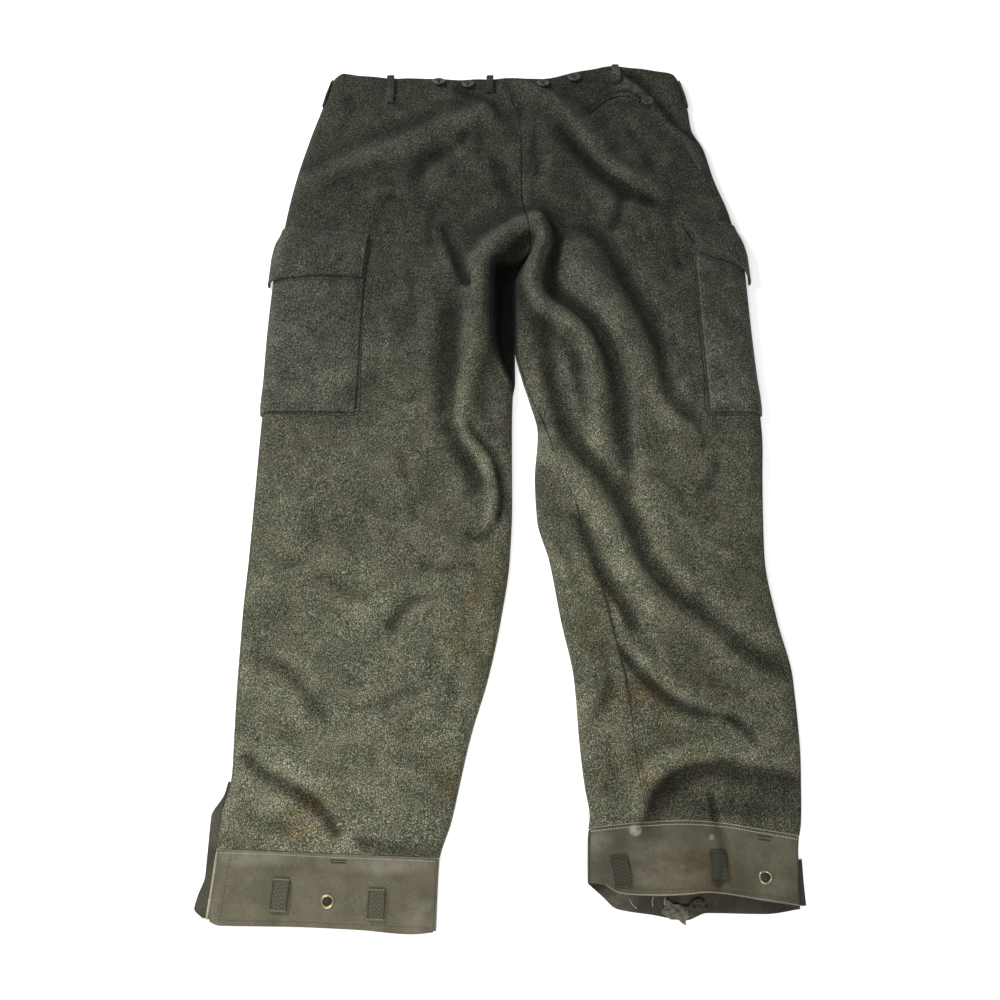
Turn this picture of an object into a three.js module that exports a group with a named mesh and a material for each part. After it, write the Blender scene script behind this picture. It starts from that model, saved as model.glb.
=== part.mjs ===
// Wool field trousers with cargo pockets and canvas ankle cuffs, laid flat, face down, on a surface.
// Millimetres, +Z up. x runs across from the wearer's left leg (negative) to the right leg (positive),
// y runs from the hems up to the waist, and the garment rests on z = 0.
import * as THREE from "three";

// ---------- Driving sizes ----------
const WOOL = 2; // thickness of the milled wool cloth
const CANVAS = 1.4; // thickness of the cuff canvas
const TAPE = 1.2; // thickness of loops and tape
const SEAM_GAP = 0.3; // clearance between two sewn pieces
const CENTRE_X = 3.7; // middle of the laid garment, from the centre line of the tables
const CENTRE_Y = 537.6; // middle of the laid garment, from its lowest hem point
const UNDER_Z = WOOL / 2; // middle of the front layer, which lies on the surface
const EDGE_RADIUS = 3.5; // bend of the cloth at a side edge
const EDGE_Z = UNDER_Z + EDGE_RADIUS;
const SEAM_AT_EDGE = 2; // distance of an ordinary side seam from the edge of the tube
const ROLL = 18; // width over which the back layer rises from a side edge
const LEAST_HEIGHT = 8.5; // middle of the back layer in the deepest trough
const POCKET_HOLLOW = 7.5; // middle of the cloth on the floor of the hollow between the thighs
const HOLLOW_SLOPE = 12; // width of the steep wall round that hollow
const CUFF_TOP = 85; // nominal height of the cuff seam
const CROTCH = 777; // height where the seat seam ends and the two legs part
const CROTCH_FORK = 14; // height over which they part
const CROTCH_EASE = 1.2; // extra clearance at the seat seam's lower end, where four panels meet
const EASE_LENGTH = 30; // height over which that clearance dies out
const WAIST = 1052; // nominal height of the waist edge
const WARP = 110; // length over which a curved end line straightens out
const BUTTON_RADIUS = 8.5;
const BUTTON_THICKNESS = 3;
const BUTTON_SHANK = { clearance: 1.1, neck: 0.6, radius: 2.4 }; // wound thread under a button
const EYELET = { outer: 6.6, hole: 3.7, height: 1.2 };

// ---------- Tables of the cut and the pose ----------
// Side edges of each leg's tube, and loft, the height of the smooth back layer, at each height up.
// Above the crotch the seat seam takes the place of the inner edge.
const LEFT_OUTLINE = [
  { up: 0, outer: -298, inner: -66, loft: 12 },
  { up: 36, outer: -294, inner: -65, loft: 13 },
  { up: 82, outer: -291, inner: -63, loft: 13 },
  { up: 120, outer: -288, inner: -51, loft: 13 },
  { up: 162, outer: -281, inner: -41, loft: 14 },
  { up: 207, outer: -282, inner: -30, loft: 14 },
  { up: 261, outer: -283, inner: -14, loft: 14 },
  { up: 327, outer: -283, inner: 0, loft: 15 },
  { up: 396, outer: -281, inner: 10, loft: 16 },
  { up: 468, outer: -280, inner: 13, loft: 16 },
  { up: 542, outer: -279, inner: 13, loft: 16 },
  { up: 595, outer: -278, inner: 14, loft: 16 },
  { up: 616, outer: -277, inner: 17, loft: 16 },
  { up: 650, outer: -277, inner: 15.4, loft: 16 },
  { up: 780, outer: -273, inner: 15.4, loft: 18 },
  { up: 842, outer: -267, inner: 15.4, loft: 18 },
  { up: 900, outer: -258, inner: 15.4, loft: 17 },
  { up: 962, outer: -244, inner: 15.4, loft: 16 },
  { up: 1011, outer: -231, inner: 15.4, loft: 15 },
  { up: 1052, outer: -221, inner: 15.4, loft: 14 },
];
const RIGHT_OUTLINE = [
  { up: 0, outer: 302, inner: 90, loft: 12 },
  { up: 36, outer: 303, inner: 90, loft: 13 },
  { up: 75, outer: 306, inner: 91, loft: 13 },
  { up: 99, outer: 311, inner: 94, loft: 13 },
  { up: 135, outer: 314, inner: 90, loft: 13 },
  { up: 197, outer: 317, inner: 85, loft: 14 },
  { up: 261, outer: 316, inner: 81, loft: 14 },
  { up: 327, outer: 304, inner: 68, loft: 15 },
  { up: 396, outer: 296, inner: 56, loft: 16 },
  { up: 444, outer: 298, inner: 43, loft: 16 },
  { up: 492, outer: 301, inner: 41, loft: 16 },
  { up: 550, outer: 305, inner: 45, loft: 16 },
  { up: 593, outer: 304, inner: 35, loft: 16 },
  { up: 620, outer: 302, inner: 27, loft: 16 },
  { up: 670, outer: 300, inner: 19, loft: 17 },
  { up: 780, outer: 297, inner: 19, loft: 18 },
  { up: 842, outer: 288, inner: 19, loft: 18 },
  { up: 900, outer: 271, inner: 19, loft: 17 },
  { up: 945, outer: 261, inner: 19, loft: 16 },
  { up: 978, outer: 247, inner: 19, loft: 15 },
  { up: 1011, outer: 244, inner: 19, loft: 14 },
  { up: 1052, outer: 236, inner: 19, loft: 14 },
];
// The seat seam, which is also the centre front, above the crotch.
const SEAT_SEAM = [
  { up: 770, x: 38 },
  { up: 796, x: 37 },
  { up: 833, x: 32 },
  { up: 870, x: 27 },
  { up: 941, x: 27 },
  { up: 987, x: 25 },
  { up: 1011, x: 16 },
  { up: 1052, x: 7 },
];

// How far the front panel wraps over each edge onto the back: side seam and inseam, from the edge.
const PLAIN_SEAMS = [
  { up: 0, side: SEAM_AT_EDGE, inseam: SEAM_AT_EDGE },
  { up: 1100, side: SEAM_AT_EDGE, inseam: SEAM_AT_EDGE },
];
const RIGHT_SEAMS = [
  { up: 0, side: 2, inseam: 53 },
  { up: 199, side: 2, inseam: 57 },
  { up: 300, side: 2, inseam: 53 },
  { up: 369, side: 2, inseam: 50 },
  { up: 449, side: 2, inseam: 46 },
  { up: 502, side: 2, inseam: 27 },
  { up: 560, side: 2, inseam: 7 },
  { up: 610, side: 2, inseam: 2 },
  { up: 890, side: 2, inseam: 2 },
  { up: 935, side: 8, inseam: 2 },
  { up: 970, side: 12, inseam: 2 },
  { up: 1006, side: 36, inseam: 2 },
  { up: 1038, side: 60, inseam: 2 },
  { up: 1052, side: 82, inseam: 2 },
];

// End lines: y of the waist edge, of the cuff seams and of the cuffs' lower edges, across x.
const WAIST_LINE = [
  { x: -222, y: 1050 },
  { x: -204, y: 1061 },
  { x: -157, y: 1054 },
  { x: -105, y: 1052 },
  { x: 52, y: 1052 },
  { x: 118, y: 1068 },
  { x: 154, y: 1071 },
  { x: 210, y: 1063 },
  { x: 236, y: 1049 },
];
const LEFT_CUFF_LINE = [
  { x: -291, y: 86 },
  { x: -172, y: 81 },
  { x: -60, y: 77 },
];
const RIGHT_CUFF_LINE = [
  { x: 90, y: 105 },
  { x: 142, y: 111 },
  { x: 189, y: 113 },
  { x: 226, y: 111 },
  { x: 262, y: 105 },
  { x: 311, y: 98 },
];
const LEFT_HEM = [
  { x: -297, back: 18, front: 19 },
  { x: -280, back: 12, front: 15 },
  { x: -213, back: 11, front: 14 },
  { x: -141, back: 8, front: 11 },
  { x: -88, back: 4, front: 7 },
  { x: -64, back: 6, front: 7 },
];
const RIGHT_HEM = [
  { x: 89, back: 53, front: 53 },
  { x: 104, back: 51, front: 40 },
  { x: 118, back: 43, front: 28 },
  { x: 156, back: 40, front: 22 },
  { x: 188, back: 41, front: 17 },
  { x: 210, back: 43, front: 24 },
  { x: 268, back: 35, front: 23 },
  { x: 311, back: 29, front: 29 },
];

// The hollow between the thighs: its two walls at each height, and the lip of the seat that hangs over it.
const HOLLOW = [
  { up: 598, left: 18, right: 17 },
  { up: 611, left: 13, right: 17.3 },
  { up: 628, left: 0, right: 17.6 },
  { up: 640, left: -20, right: 18 },
  { up: 654, left: -14, right: 20 },
  { up: 680, left: -13, right: 24 },
  { up: 723, left: -13, right: 30 },
  { up: 759, left: -12, right: 38 },
  { up: 790, left: -4, right: 48 },
];
const SEAT_LIP = [
  { x: -20, y: 772 },
  { x: -4, y: 776 },
  { x: 14, y: 772 },
  { x: 36, y: 781 },
  { x: 52, y: 789 },
];

// Folds of the back layer: a path, its width on the left and the right of the direction of travel,
// and its height at the path's start and end. Ridges are positive, troughs negative.
const FOLDS = [
  { path: [[-252, 879], [-179, 939], [-77, 978], [-19, 1009]], left: 16, right: 22, start: 5, end: 7 },
  { path: [[-77, 948], [-108, 918], [-111, 885]], left: 18, right: 18, start: -5, end: -4 },
  { path: [[-42, 1060], [-42, 1010]], left: 18, right: 18, start: -2, end: -1.5 },
  { path: [[-6, 930], [13, 870]], left: 14, right: 14, start: -4, end: -4 },
  { path: [[26, 1040], [78, 1006], [103, 983], [127, 936]], left: 16, right: 14, start: 4, end: 6 },
  {
    path: [[72, 985], [102, 942], [127, 904], [158, 882], [205, 866]],
    left: 14, right: 18, start: -4, end: -7,
  },
  { path: [[118, 928], [150, 900], [205, 880]], left: 14, right: 8, start: 6, end: 4 },
  {
    path: [[153, 1060], [183, 1036], [208, 1006], [244, 964], [262, 914]],
    left: 9, right: 14, start: 6, end: 4,
  },
  { path: [[-62, 805], [-50, 770], [-40, 740]], left: 10, right: 12, start: -4, end: -8 },
  {
    path: [[-28, 645], [-26, 708], [-27, 748], [-6, 790], [24, 813], [52, 824]],
    left: 22, right: 16, start: 14, end: 22,
  },
  { path: [[-60, 705], [-66, 618], [-64, 553], [-44, 505]], left: 16, right: 22, start: -6, end: -7 },
  {
    path: [[-30, 650], [-44, 590], [-44, 553], [-14, 504], [-11, 430]],
    left: 12, right: 14, start: 9, end: 6,
  },
  { path: [[-24, 556], [-8, 525], [-1, 490], [-3, 440]], left: 7, right: 8, start: -8, end: -4 },
  { path: [[46, 830], [58, 796], [55, 771], [45, 740]], left: 16, right: 16, start: 21, end: 21 },
  {
    path: [[45, 740], [41, 723], [50, 705], [88, 676], [105, 640]],
    left: 15, right: 15, start: 19, end: 12,
  },
  { path: [[105, 650], [107, 600], [113, 525]], left: 13, right: 15, start: 11, end: 5 },
  { path: [[70, 832], [76, 800], [82, 780]], left: 9, right: 9, start: -4, end: -6 },
  {
    path: [[80, 800], [100, 758], [131, 700], [165, 645], [190, 570], [220, 525]],
    left: 24, right: 20, start: 10, end: 6,
  },
  {
    path: [[124, 828], [171, 752], [190, 690], [201, 617], [236, 568]],
    left: 16, right: 14, start: -5, end: -5,
  },
  {
    path: [[73, 726], [109, 697], [128, 650], [138, 580], [140, 460]],
    left: 11, right: 13, start: -8, end: -5,
  },
  {
    path: [[56, 700], [58, 650], [76, 566], [98, 505], [138, 440]],
    left: 12, right: 13, start: -5, end: -6,
  },
  {
    path: [[42, 545], [68, 498], [112, 438], [150, 378], [184, 312]],
    left: 20, right: 22, start: 6, end: 5,
  },
  {
    path: [[114, 479], [158, 419], [199, 355], [252, 315], [312, 272]],
    left: 16, right: 14, start: -6, end: -6,
  },
  { path: [[92, 418], [111, 378], [133, 349], [147, 315]], left: 8, right: 8, start: -5, end: -4 },
  {
    path: [[131, 293], [151, 271], [193, 242], [230, 226], [272, 200]],
    left: 8, right: 12, start: -4, end: -3,
  },
  { path: [[103, 299], [117, 271], [104, 239], [98, 218]], left: 9, right: 9, start: -3, end: -3 },
  { path: [[153, 118], [164, 146], [200, 170], [232, 173]], left: 12, right: 16, start: 4, end: 4 },
  { path: [[156, 100], [175, 140], [212, 158], [312, 147]], left: 8, right: 14, start: -4, end: -4 },
  { path: [[-200, 378], [-155, 349]], left: 12, right: 12, start: -3, end: -3 },
  { path: [[-60, 362], [-110, 343], [-158, 306]], left: 14, right: 14, start: -3, end: -3 },
  { path: [[-265, 284], [-226, 255], [-200, 228]], left: 14, right: 14, start: -3, end: -3 },
  {
    path: [[-270, 178], [-240, 152], [-208, 140], [-187, 130], [-168, 106]],
    left: 7, right: 12, start: -4, end: -5,
  },
  { path: [[-250, 190], [-215, 160], [-170, 140]], left: 16, right: 12, start: 3, end: 3 },
  { path: [[-146, 101], [-70, 90]], left: 10, right: 10, start: -3, end: -3 },
  { path: [[112, 40], [150, 34], [206, 38]], left: 34, right: 34, start: 7, end: 9 },
];
const MARK_STEP = 0.6; // spacing of the marks along a fold, as a share of its narrower width
const SIDE_BLEND = 8; // distance over which a fold's left width turns into its right width

// ---------- Small maths ----------
const clamp01 = (value) => Math.min(1, Math.max(0, value));
const mix = (a, b, share) => a + (b - a) * share;
const smooth = (value) => clamp01(value) ** 2 * (3 - 2 * clamp01(value));

// Smooth curve through a table's rows that never overshoots them (monotone cubic).
function sample(table, along, column, value) {
  const last = table.length - 1;
  const at = Math.min(Math.max(value, table[0][along]), table[last][along]);
  let i = 0;
  while (i < last - 1 && at > table[i + 1][along]) i += 1;
  const step = (k, name) => table[k + 1][name] - table[k][name];
  const slope = (k) => step(k, column) / step(k, along);
  const tangent = (k) => {
    if (k === 0 || k === last) return slope(Math.min(k, last - 1));
    const before = slope(k - 1);
    const after = slope(k);
    return before * after <= 0 ? 0 : (2 * before * after) / (before + after);
  };
  const span = step(i, along);
  const t = (at - table[i][along]) / span;
  const rise = step(i, column);
  const start = tangent(i) * span;
  const end = tangent(i + 1) * span;
  const square = 3 * rise - 2 * start - end;
  const cube = start + end - 2 * rise;
  return table[i][column] + start * t + square * t ** 2 + cube * t ** 3;
}

// Evenly spaced numbers, both ends included.
const spread = (from, to, steps) => Array.from({ length: steps + 1 }, (_, i) => mix(from, to, i / steps));

// ---------- Height of the back layer ----------
for (const fold of FOLDS) {
  const knots = fold.path.map(([x, y]) => new THREE.Vector3(x, y, 0));
  const curve = new THREE.CatmullRomCurve3(knots, false, "centripetal");
  const steps = Math.ceil(curve.getLength() / (MARK_STEP * Math.min(fold.left, fold.right)));
  fold.step = curve.getLength() / steps;
  fold.marks = spread(0.5 / steps, 1 - 0.5 / steps, steps - 1).map((share) => ({
    at: curve.getPointAt(share),
    travel: curve.getTangentAt(share),
    height: mix(fold.start, fold.end, share),
  }));
}

// Height that one fold adds: round bell-shaped marks, set along its path so closely that they join in an
// even ridge or trough, which has its own width on each side and dies out at both ends.
function foldHeight(fold, x, y) {
  return fold.marks.reduce((sum, { at, travel, height }) => {
    const dx = x - at.x;
    const dy = y - at.y;
    const leftShare = smooth((travel.x * dy - travel.y * dx) / SIDE_BLEND + 0.5);
    const width = mix(fold.right, fold.left, leftShare);
    const bell = Math.exp(-(dx * dx + dy * dy) / width ** 2);
    return sum + (height * bell * fold.step) / (width * Math.sqrt(Math.PI));
  }, 0);
}

// Height of the back layer's middle: loft and folds, dropped into the hollow between the thighs.
function backHeight(leg, x, y) {
  const loft = sample(leg.outline, "up", "loft", y);
  const raised = FOLDS.reduce((sum, fold) => sum + foldHeight(fold, x, y), loft);
  const height = LEAST_HEIGHT + Math.log1p(Math.exp(raised - LEAST_HEIGHT));
  const between = smooth((x - sample(HOLLOW, "up", "left", y)) / HOLLOW_SLOPE + 0.5) *
    smooth((sample(HOLLOW, "up", "right", y) - x) / HOLLOW_SLOPE + 0.5);
  const belowLip = smooth((sample(SEAT_LIP, "x", "y", x) - y) / HOLLOW_SLOPE + 0.5);
  const aboveFoot = smooth((y - HOLLOW[0].up) / HOLLOW_SLOPE);
  return mix(height, POCKET_HOLLOW, between * belowLip * aboveFoot);
}

// ---------- The flattened tube of one leg and its half of the seat ----------
// A place on the ring round the tube is a number: 0 outer edge, 0 to 1 outer roll, 1 to 2 back layer,
// 2 to 3 inner roll, 3 inner edge, 3 to 4 inner bend, 4 to 5 front layer, 5 to 6 outer bend.
const legs = {
  left: {
    outline: LEFT_OUTLINE,
    seams: PLAIN_SEAMS,
    cuffLine: LEFT_CUFF_LINE,
    hem: LEFT_HEM,
    inward: 1,
  },
  right: {
    outline: RIGHT_OUTLINE,
    seams: RIGHT_SEAMS,
    cuffLine: RIGHT_CUFF_LINE,
    hem: RIGHT_HEM,
    inward: -1,
  },
};

// 1 below the crotch, where the tube is closed along the inseam, 0 above it, where both halves meet.
const legShare = (up) => smooth((CROTCH - up) / CROTCH_FORK + 0.5);

const edgesAt = (leg, up) => {
  const outer = sample(leg.outline, "up", "outer", up);
  const legInner = sample(leg.outline, "up", "inner", up);
  const inner = mix(sample(SEAT_SEAM, "up", "x", up), legInner, legShare(up));
  return { outer, inner, width: Math.abs(inner - outer) };
};

// Ring number of a place on the back layer at a distance from the outer edge.
function placeFromOuter(width, distance) {
  if (distance < ROLL) return Math.acos(1 - Math.max(distance, 0) / ROLL) / (Math.PI / 2);
  if (distance > width - ROLL) return 3 - placeFromOuter(width, width - distance);
  return 1 + (distance - ROLL) / (width - 2 * ROLL);
}

// Whole garment y of a place: the nominal height, bent near the waist and near the cuff seam.
function bentUp(leg, x, up) {
  const toWaist = sample(WAIST_LINE, "x", "y", x) - WAIST;
  const toCuff = sample(leg.cuffLine, "x", "y", x) - CUFF_TOP;
  return up + toWaist * smooth((up - WAIST + WARP) / WARP) + toCuff * smooth((CUFF_TOP + WARP - up) / WARP);
}

// Middle of the cloth at a ring place. heightLine maps x and the nominal height to y.
function ringPoint(leg, up, place, heightLine) {
  const { outer, inner, width } = edgesAt(leg, up);
  const ring = ((place % 6) + 6) % 6;
  const closed = legShare(up);
  const quarter = (share) => (share * Math.PI) / 2;
  const onX = (distance) => outer + leg.inward * distance;
  if (ring <= 3) {
    let distance = ROLL + (ring - 1) * (width - 2 * ROLL);
    if (ring < 1) distance = ROLL * (1 - Math.cos(quarter(ring)));
    if (ring > 2) distance = width - ROLL * (1 - Math.cos(quarter(3 - ring)));
    const x = onX(distance);
    const y = heightLine(x, up);
    const rise = (share) => Math.sqrt(1 - (1 - clamp01(share)) ** 2);
    const outerRise = rise(distance / ROLL);
    const innerRise = mix(1, rise((width - distance) / ROLL), closed);
    return new THREE.Vector3(x, y, mix(EDGE_Z, backHeight(leg, x, y), outerRise * innerRise));
  }
  let distance = EDGE_RADIUS + (5 - ring) * (width - 2 * EDGE_RADIUS);
  let z = UNDER_Z;
  if (ring < 4) {
    distance = width - EDGE_RADIUS * (1 - Math.sin(quarter(4 - ring)));
    z = UNDER_Z + EDGE_RADIUS * (1 - Math.cos(quarter(4 - ring)));
  }
  if (ring > 5) {
    distance = EDGE_RADIUS * (1 - Math.sin(quarter(ring - 5)));
    z = UNDER_Z + EDGE_RADIUS * (1 - Math.cos(quarter(ring - 5)));
  }
  const x = onX(distance);
  return new THREE.Vector3(x, heightLine(x, up), z);
}

// ---------- Walls ----------
// Closed wall of even thickness round the middle surface point(row, column), over two lists of numbers.
function clothWall(rows, columns, thickness, point) {
  const step = 0.02;
  const corners = [];
  for (const side of [1, -1]) {
    for (const row of rows) {
      for (const column of columns) {
        const along = point(row + step, column).sub(point(row - step, column));
        const across = point(row, column + step).sub(point(row, column - step));
        const normal = across.cross(along).normalize();
        corners.push(point(row, column).addScaledVector(normal, (side * thickness) / 2));
      }
    }
  }
  const wide = columns.length;
  const layer = rows.length * wide;
  const faces = [];
  const quad = (a, b, c, d) => faces.push(a, b, c, a, c, d);
  for (let i = 0; i < rows.length - 1; i += 1) {
    for (let j = 0; j < wide - 1; j += 1) {
      const a = i * wide + j;
      quad(a, a + 1, a + wide + 1, a + wide);
      quad(layer + a, layer + a + wide, layer + a + wide + 1, layer + a + 1);
    }
  }
  for (let j = 0; j < wide - 1; j += 1) {
    const top = layer - wide + j;
    quad(j, layer + j, layer + j + 1, j + 1);
    quad(top, top + 1, layer + top + 1, layer + top);
  }
  for (let i = 0; i < rows.length - 1; i += 1) {
    const a = i * wide;
    const b = a + wide - 1;
    quad(a, a + wide, layer + a + wide, layer + a);
    quad(b, layer + b, layer + b + wide, b + wide);
  }
  const geometry = new THREE.BufferGeometry().setFromPoints(corners);
  let volume = 0;
  for (let f = 0; f < faces.length; f += 3) {
    const [a, b, c] = [corners[faces[f]], corners[faces[f + 1]], corners[faces[f + 2]]];
    volume += a.dot(b.clone().cross(c));
  }
  geometry.setIndex(volume > 0 ? faces : faces.reverse());
  geometry.computeVertexNormals();
  return geometry;
}

// ---------- Materials ----------
const material = (name, color, roughness, metalness = 0) =>
  Object.assign(new THREE.MeshStandardMaterial({ color, roughness, metalness }), { name });
const wool = material("grey-green wool", 0x45463a, 0.95);
const pocketWool = material("pocket wool", 0x3f413a, 0.95);
const canvas = material("olive canvas", 0x655f4b, 0.85);
const tape = material("herringbone tape", 0x4c5040, 0.85);
const horn = material("grey button", 0x4a4a46, 0.5);
const brass = material("aged brass", 0xa08a4c, 0.4, 1);

const garment = new THREE.Group();
garment.position.set(-CENTRE_X, -CENTRE_Y, 0);

function addPiece(name, geometry, finish) {
  const piece = new THREE.Mesh(geometry, finish);
  piece.name = name;
  garment.add(piece);
  return piece;
}

// ---------- Main panels ----------
const PANEL_ROWS = [
  ...spread(CUFF_TOP + SEAM_GAP / 2, 700, 25).slice(0, -1),
  ...spread(700, 808, 12).slice(0, -1),
  ...spread(808, WAIST, 10),
];
// Shares across the back layer, closer together towards the crotch.
const RUN = [0.09, 0.18, 0.27, 0.36, 0.45, 0.53, 0.61, 0.68, 0.75, 0.81, 0.87, 0.92, 0.96];
const BACK_COLUMNS = [0, 0.17, 0.34, ...RUN.map((share) => mix(0.34, 0.83, share)), 0.83, 0.915, 1];

// Half of the clearance at a seam, wider where the four panels meet at the crotch.
const halfGap = (up) => SEAM_GAP / 2 + CROTCH_EASE * Math.exp(-(((up - CROTCH) / EASE_LENGTH) ** 2));

// Ring places of the two seams at a height.
function seamsAt(leg, up) {
  const { width } = edgesAt(leg, up);
  const inseam = mix(halfGap(up), sample(leg.seams, "up", "inseam", up), legShare(up));
  return {
    side: placeFromOuter(width, sample(leg.seams, "up", "side", up)),
    inseam: placeFromOuter(width, width - inseam),
  };
}

// Moves a ring place off a seam by half the seam gap.
function besideSeam(leg, up, place, direction) {
  const here = ringPoint(leg, up, place, (x, height) => height);
  const near = ringPoint(leg, up, place + direction * 0.01, (x, height) => height);
  return place + (direction * 0.01 * Math.min(halfGap(up), 0.6)) / here.distanceTo(near);
}

const panelLine = (leg) => (x, up) => bentUp(leg, x, up);

// Back panel: from the side seam over the back layer to the inseam or the seat seam.
function backPoint(leg, line) {
  return (up, share) => {
    const seams = seamsAt(leg, up);
    const from = besideSeam(leg, up, seams.side, 1);
    const to = up > CROTCH ? seams.inseam : besideSeam(leg, up, seams.inseam, -1);
    return ringPoint(leg, up, Math.min(mix(from, to, placeOfShare(share)), 2.999), line);
  };
}

// Spreads columns so that the rolls at both edges and the folds between them are sampled alike.
function placeOfShare(share) {
  const edge = 0.27;
  if (share < 0.34) return (share / 0.34) * edge;
  if (share > 0.83) return 1 - ((1 - share) / 0.17) * edge;
  return mix(edge, 1 - edge, (share - 0.34) / 0.49);
}

// Front panel: from the inseam round the inner edge, under the tube and round the outer edge.
// Its columns 0 to 1 lie on the inner wrap, 1 to 2 on the bend, 2 to 3 under, 3 to 4 and 4 to 5 outside.
const FRONT_FLAT = 9; // width of front cloth that turns up into the inner wrap below the crotch
function frontPoint(leg, line) {
  return (up, column) => {
    const seams = seamsAt(leg, up);
    const inseam = besideSeam(leg, up, Math.min(seams.inseam, 2.98), 1);
    const side = 6 + besideSeam(leg, up, seams.side, -1);
    let place = mix(inseam, 3, column);
    if (column > 1) place = column + 2;
    if (column > 4) place = mix(6, side, column - 4);
    const point = ringPoint(leg, up, place, line);
    const open = 1 - legShare(up);
    if (open === 0 || column > 2) return point;
    const x = edgesAt(leg, up).inner - leg.inward * (SEAM_GAP / 2 + (FRONT_FLAT * column) / 2);
    return point.lerp(new THREE.Vector3(x, line(x, up), UNDER_Z), open);
  };
}

const FRONT_COLUMNS = {
  left: [0, 1, 1.5, 2, 2.5, 3, 3.5, 4, 5],
  right: [0, 0.25, 0.5, 0.75, 1, 1.5, 2, 2.15, 2.3, 2.45, 2.6, 2.8, 3, 3.5, 4, 4.33, 4.66, 5],
};

for (const [side, leg] of Object.entries(legs)) {
  const line = panelLine(leg);
  addPiece("back_" + side, clothWall(PANEL_ROWS, BACK_COLUMNS, WOOL, backPoint(leg, line)), wool);
  addPiece("front_" + side, clothWall(PANEL_ROWS, FRONT_COLUMNS[side], WOOL, frontPoint(leg, line)), wool);
}

// ---------- Cuffs ----------
const CUFF_ROWS = spread(0, 1, 4);
const CUFF_COLUMNS = [0, 1, 1.5, 2, 2.07, 2.15, 2.3, 2.45, 2.6, 2.8, 3, 3.5, 4, 5];
const HEM_UP = 36; // nominal height whose side edges the lower edge of a cuff takes
const CUFF_GAP = 0.45; // half of the clearance along the curved cuff seam
const cuffUp = (row) => mix(HEM_UP, CUFF_TOP, row);

// Whole garment y inside a cuff: between its lower edge and the cuff seam.
function cuffLine(leg, face) {
  return (x, up) => {
    const share = (up - HEM_UP) / (CUFF_TOP - HEM_UP);
    return mix(sample(leg.hem, "x", face, x), sample(leg.cuffLine, "x", "y", x) - CUFF_GAP, share);
  };
}

for (const [side, leg] of Object.entries(legs)) {
  const band = { ...leg, seams: PLAIN_SEAMS };
  const back = backPoint(band, cuffLine(leg, "back"));
  const front = frontPoint(band, cuffLine(leg, "front"));
  const backWall = clothWall(CUFF_ROWS, BACK_COLUMNS, CANVAS, (row, share) => back(cuffUp(row), share));
  const frontWall = clothWall(CUFF_ROWS, CUFF_COLUMNS, CANVAS, (row, column) => front(cuffUp(row), column));
  addPiece("cuff_back_" + side, backWall, canvas);
  addPiece("cuff_front_" + side, frontWall, canvas);
}

// Folded canvas gussets of the ankle slits, which lie on the surface outside the leg's edge.
const GUSSETS = {
  left: [
    { y: 19, x: -301 },
    { y: 28, x: -310.5 },
    { y: 40, x: -308 },
    { y: 60, x: -302 },
    { y: 90, x: -301.5 },
    { y: 118, x: -301 },
    { y: 141, x: -289 },
    { y: 154, x: -286 },
  ],
  right: [
    { y: 31, x: 311 },
    { y: 45, x: 310.5 },
    { y: 60, x: 310.5 },
    { y: 76, x: 310.5 },
  ],
};
const GUSSET_CLEARANCE = { left: 1.6, right: 0.8 }; // from the middle of the leg's edge to the gusset
const GUSSET_THICKNESS = 2.2; // two layers of thin canvas
for (const [side, outline] of Object.entries(GUSSETS)) {
  const leg = legs[side];
  const rows = outline.map((row) => row.y);
  const wall = clothWall(rows, [0, 1], GUSSET_THICKNESS, (y, column) => {
    const inner = edgesAt(leg, Math.max(y, HEM_UP)).outer - leg.inward * GUSSET_CLEARANCE[side];
    return new THREE.Vector3(mix(inner, sample(outline, "y", "x", y), column), y, GUSSET_THICKNESS / 2);
  });
  addPiece("cuff_gusset_" + side, wall, canvas);
}

// ---------- Pieces that lie on the panels ----------
const onCloth = (under, own) => under / 2 + SEAM_GAP + own / 2;
const POCKET_LIFT = onCloth(WOOL, WOOL) + 0.15;

// Point of the panel at a ring place, moved out of the cloth.
function liftedPoint(leg, up, place, lift, line) {
  const step = 0.01;
  const at = (height, where) => ringPoint(leg, height, where, line);
  const along = at(up + 1, place).sub(at(up - 1, place));
  const across = at(up, place + step).sub(at(up, place - step));
  const outward = across.cross(along).normalize().multiplyScalar(leg.inward);
  return at(up, place).addScaledVector(outward, lift);
}

// A pocket's columns: up to 1 they are ring places on the outer roll, from 1 to 2 they run on to its reach.
const reachFromEdge = (reach, column) =>
  column > 1 ? mix(ROLL, reach, column - 1) : ROLL * (1 - Math.cos((Math.max(column, 0) * Math.PI) / 2));
const reachPlace = (leg, up, reach, column) =>
  column > 1 ? placeFromOuter(edgesAt(leg, up).width, reachFromEdge(reach, column)) : column;

// Cargo pockets, which bulge, and their flaps, which hang over the pocket mouths.
const POCKETS = {
  left: { foot: 573, head: 799, reach: 109, puff: 4 },
  right: { foot: 573, head: 799, reach: 60, puff: 4 },
};
const FLAPS = {
  left: {
    reachHead: 109,
    reachFoot: 107,
    edges: [
      { in: 0, foot: 744, head: 823 },
      { in: 20, foot: 753, head: 822 },
      { in: 108, foot: 755, head: 813 },
    ],
  },
  right: {
    reachHead: 61,
    reachFoot: 53,
    edges: [
      { in: 0, foot: 750, head: 828 },
      { in: 8, foot: 768, head: 828 },
      { in: 18, foot: 778, head: 829 },
      { in: 60, foot: 792, head: 832 },
    ],
  },
};
const POCKET_EDGE = 12; // width over which a pocket rises from its sewn edges
const FLAP_TURN = 0.27; // share of a flap over which it rises from its seam onto the pocket
const POCKET_COLUMNS = [-0.25, 0, 0.25, 0.5, 0.75, 1, 1.3, 1.65, 1.9, 2];
const POCKET_ROWS = [0, 0.05, 0.2, 0.4, 0.6, 0.8, 0.93, 1];
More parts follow.
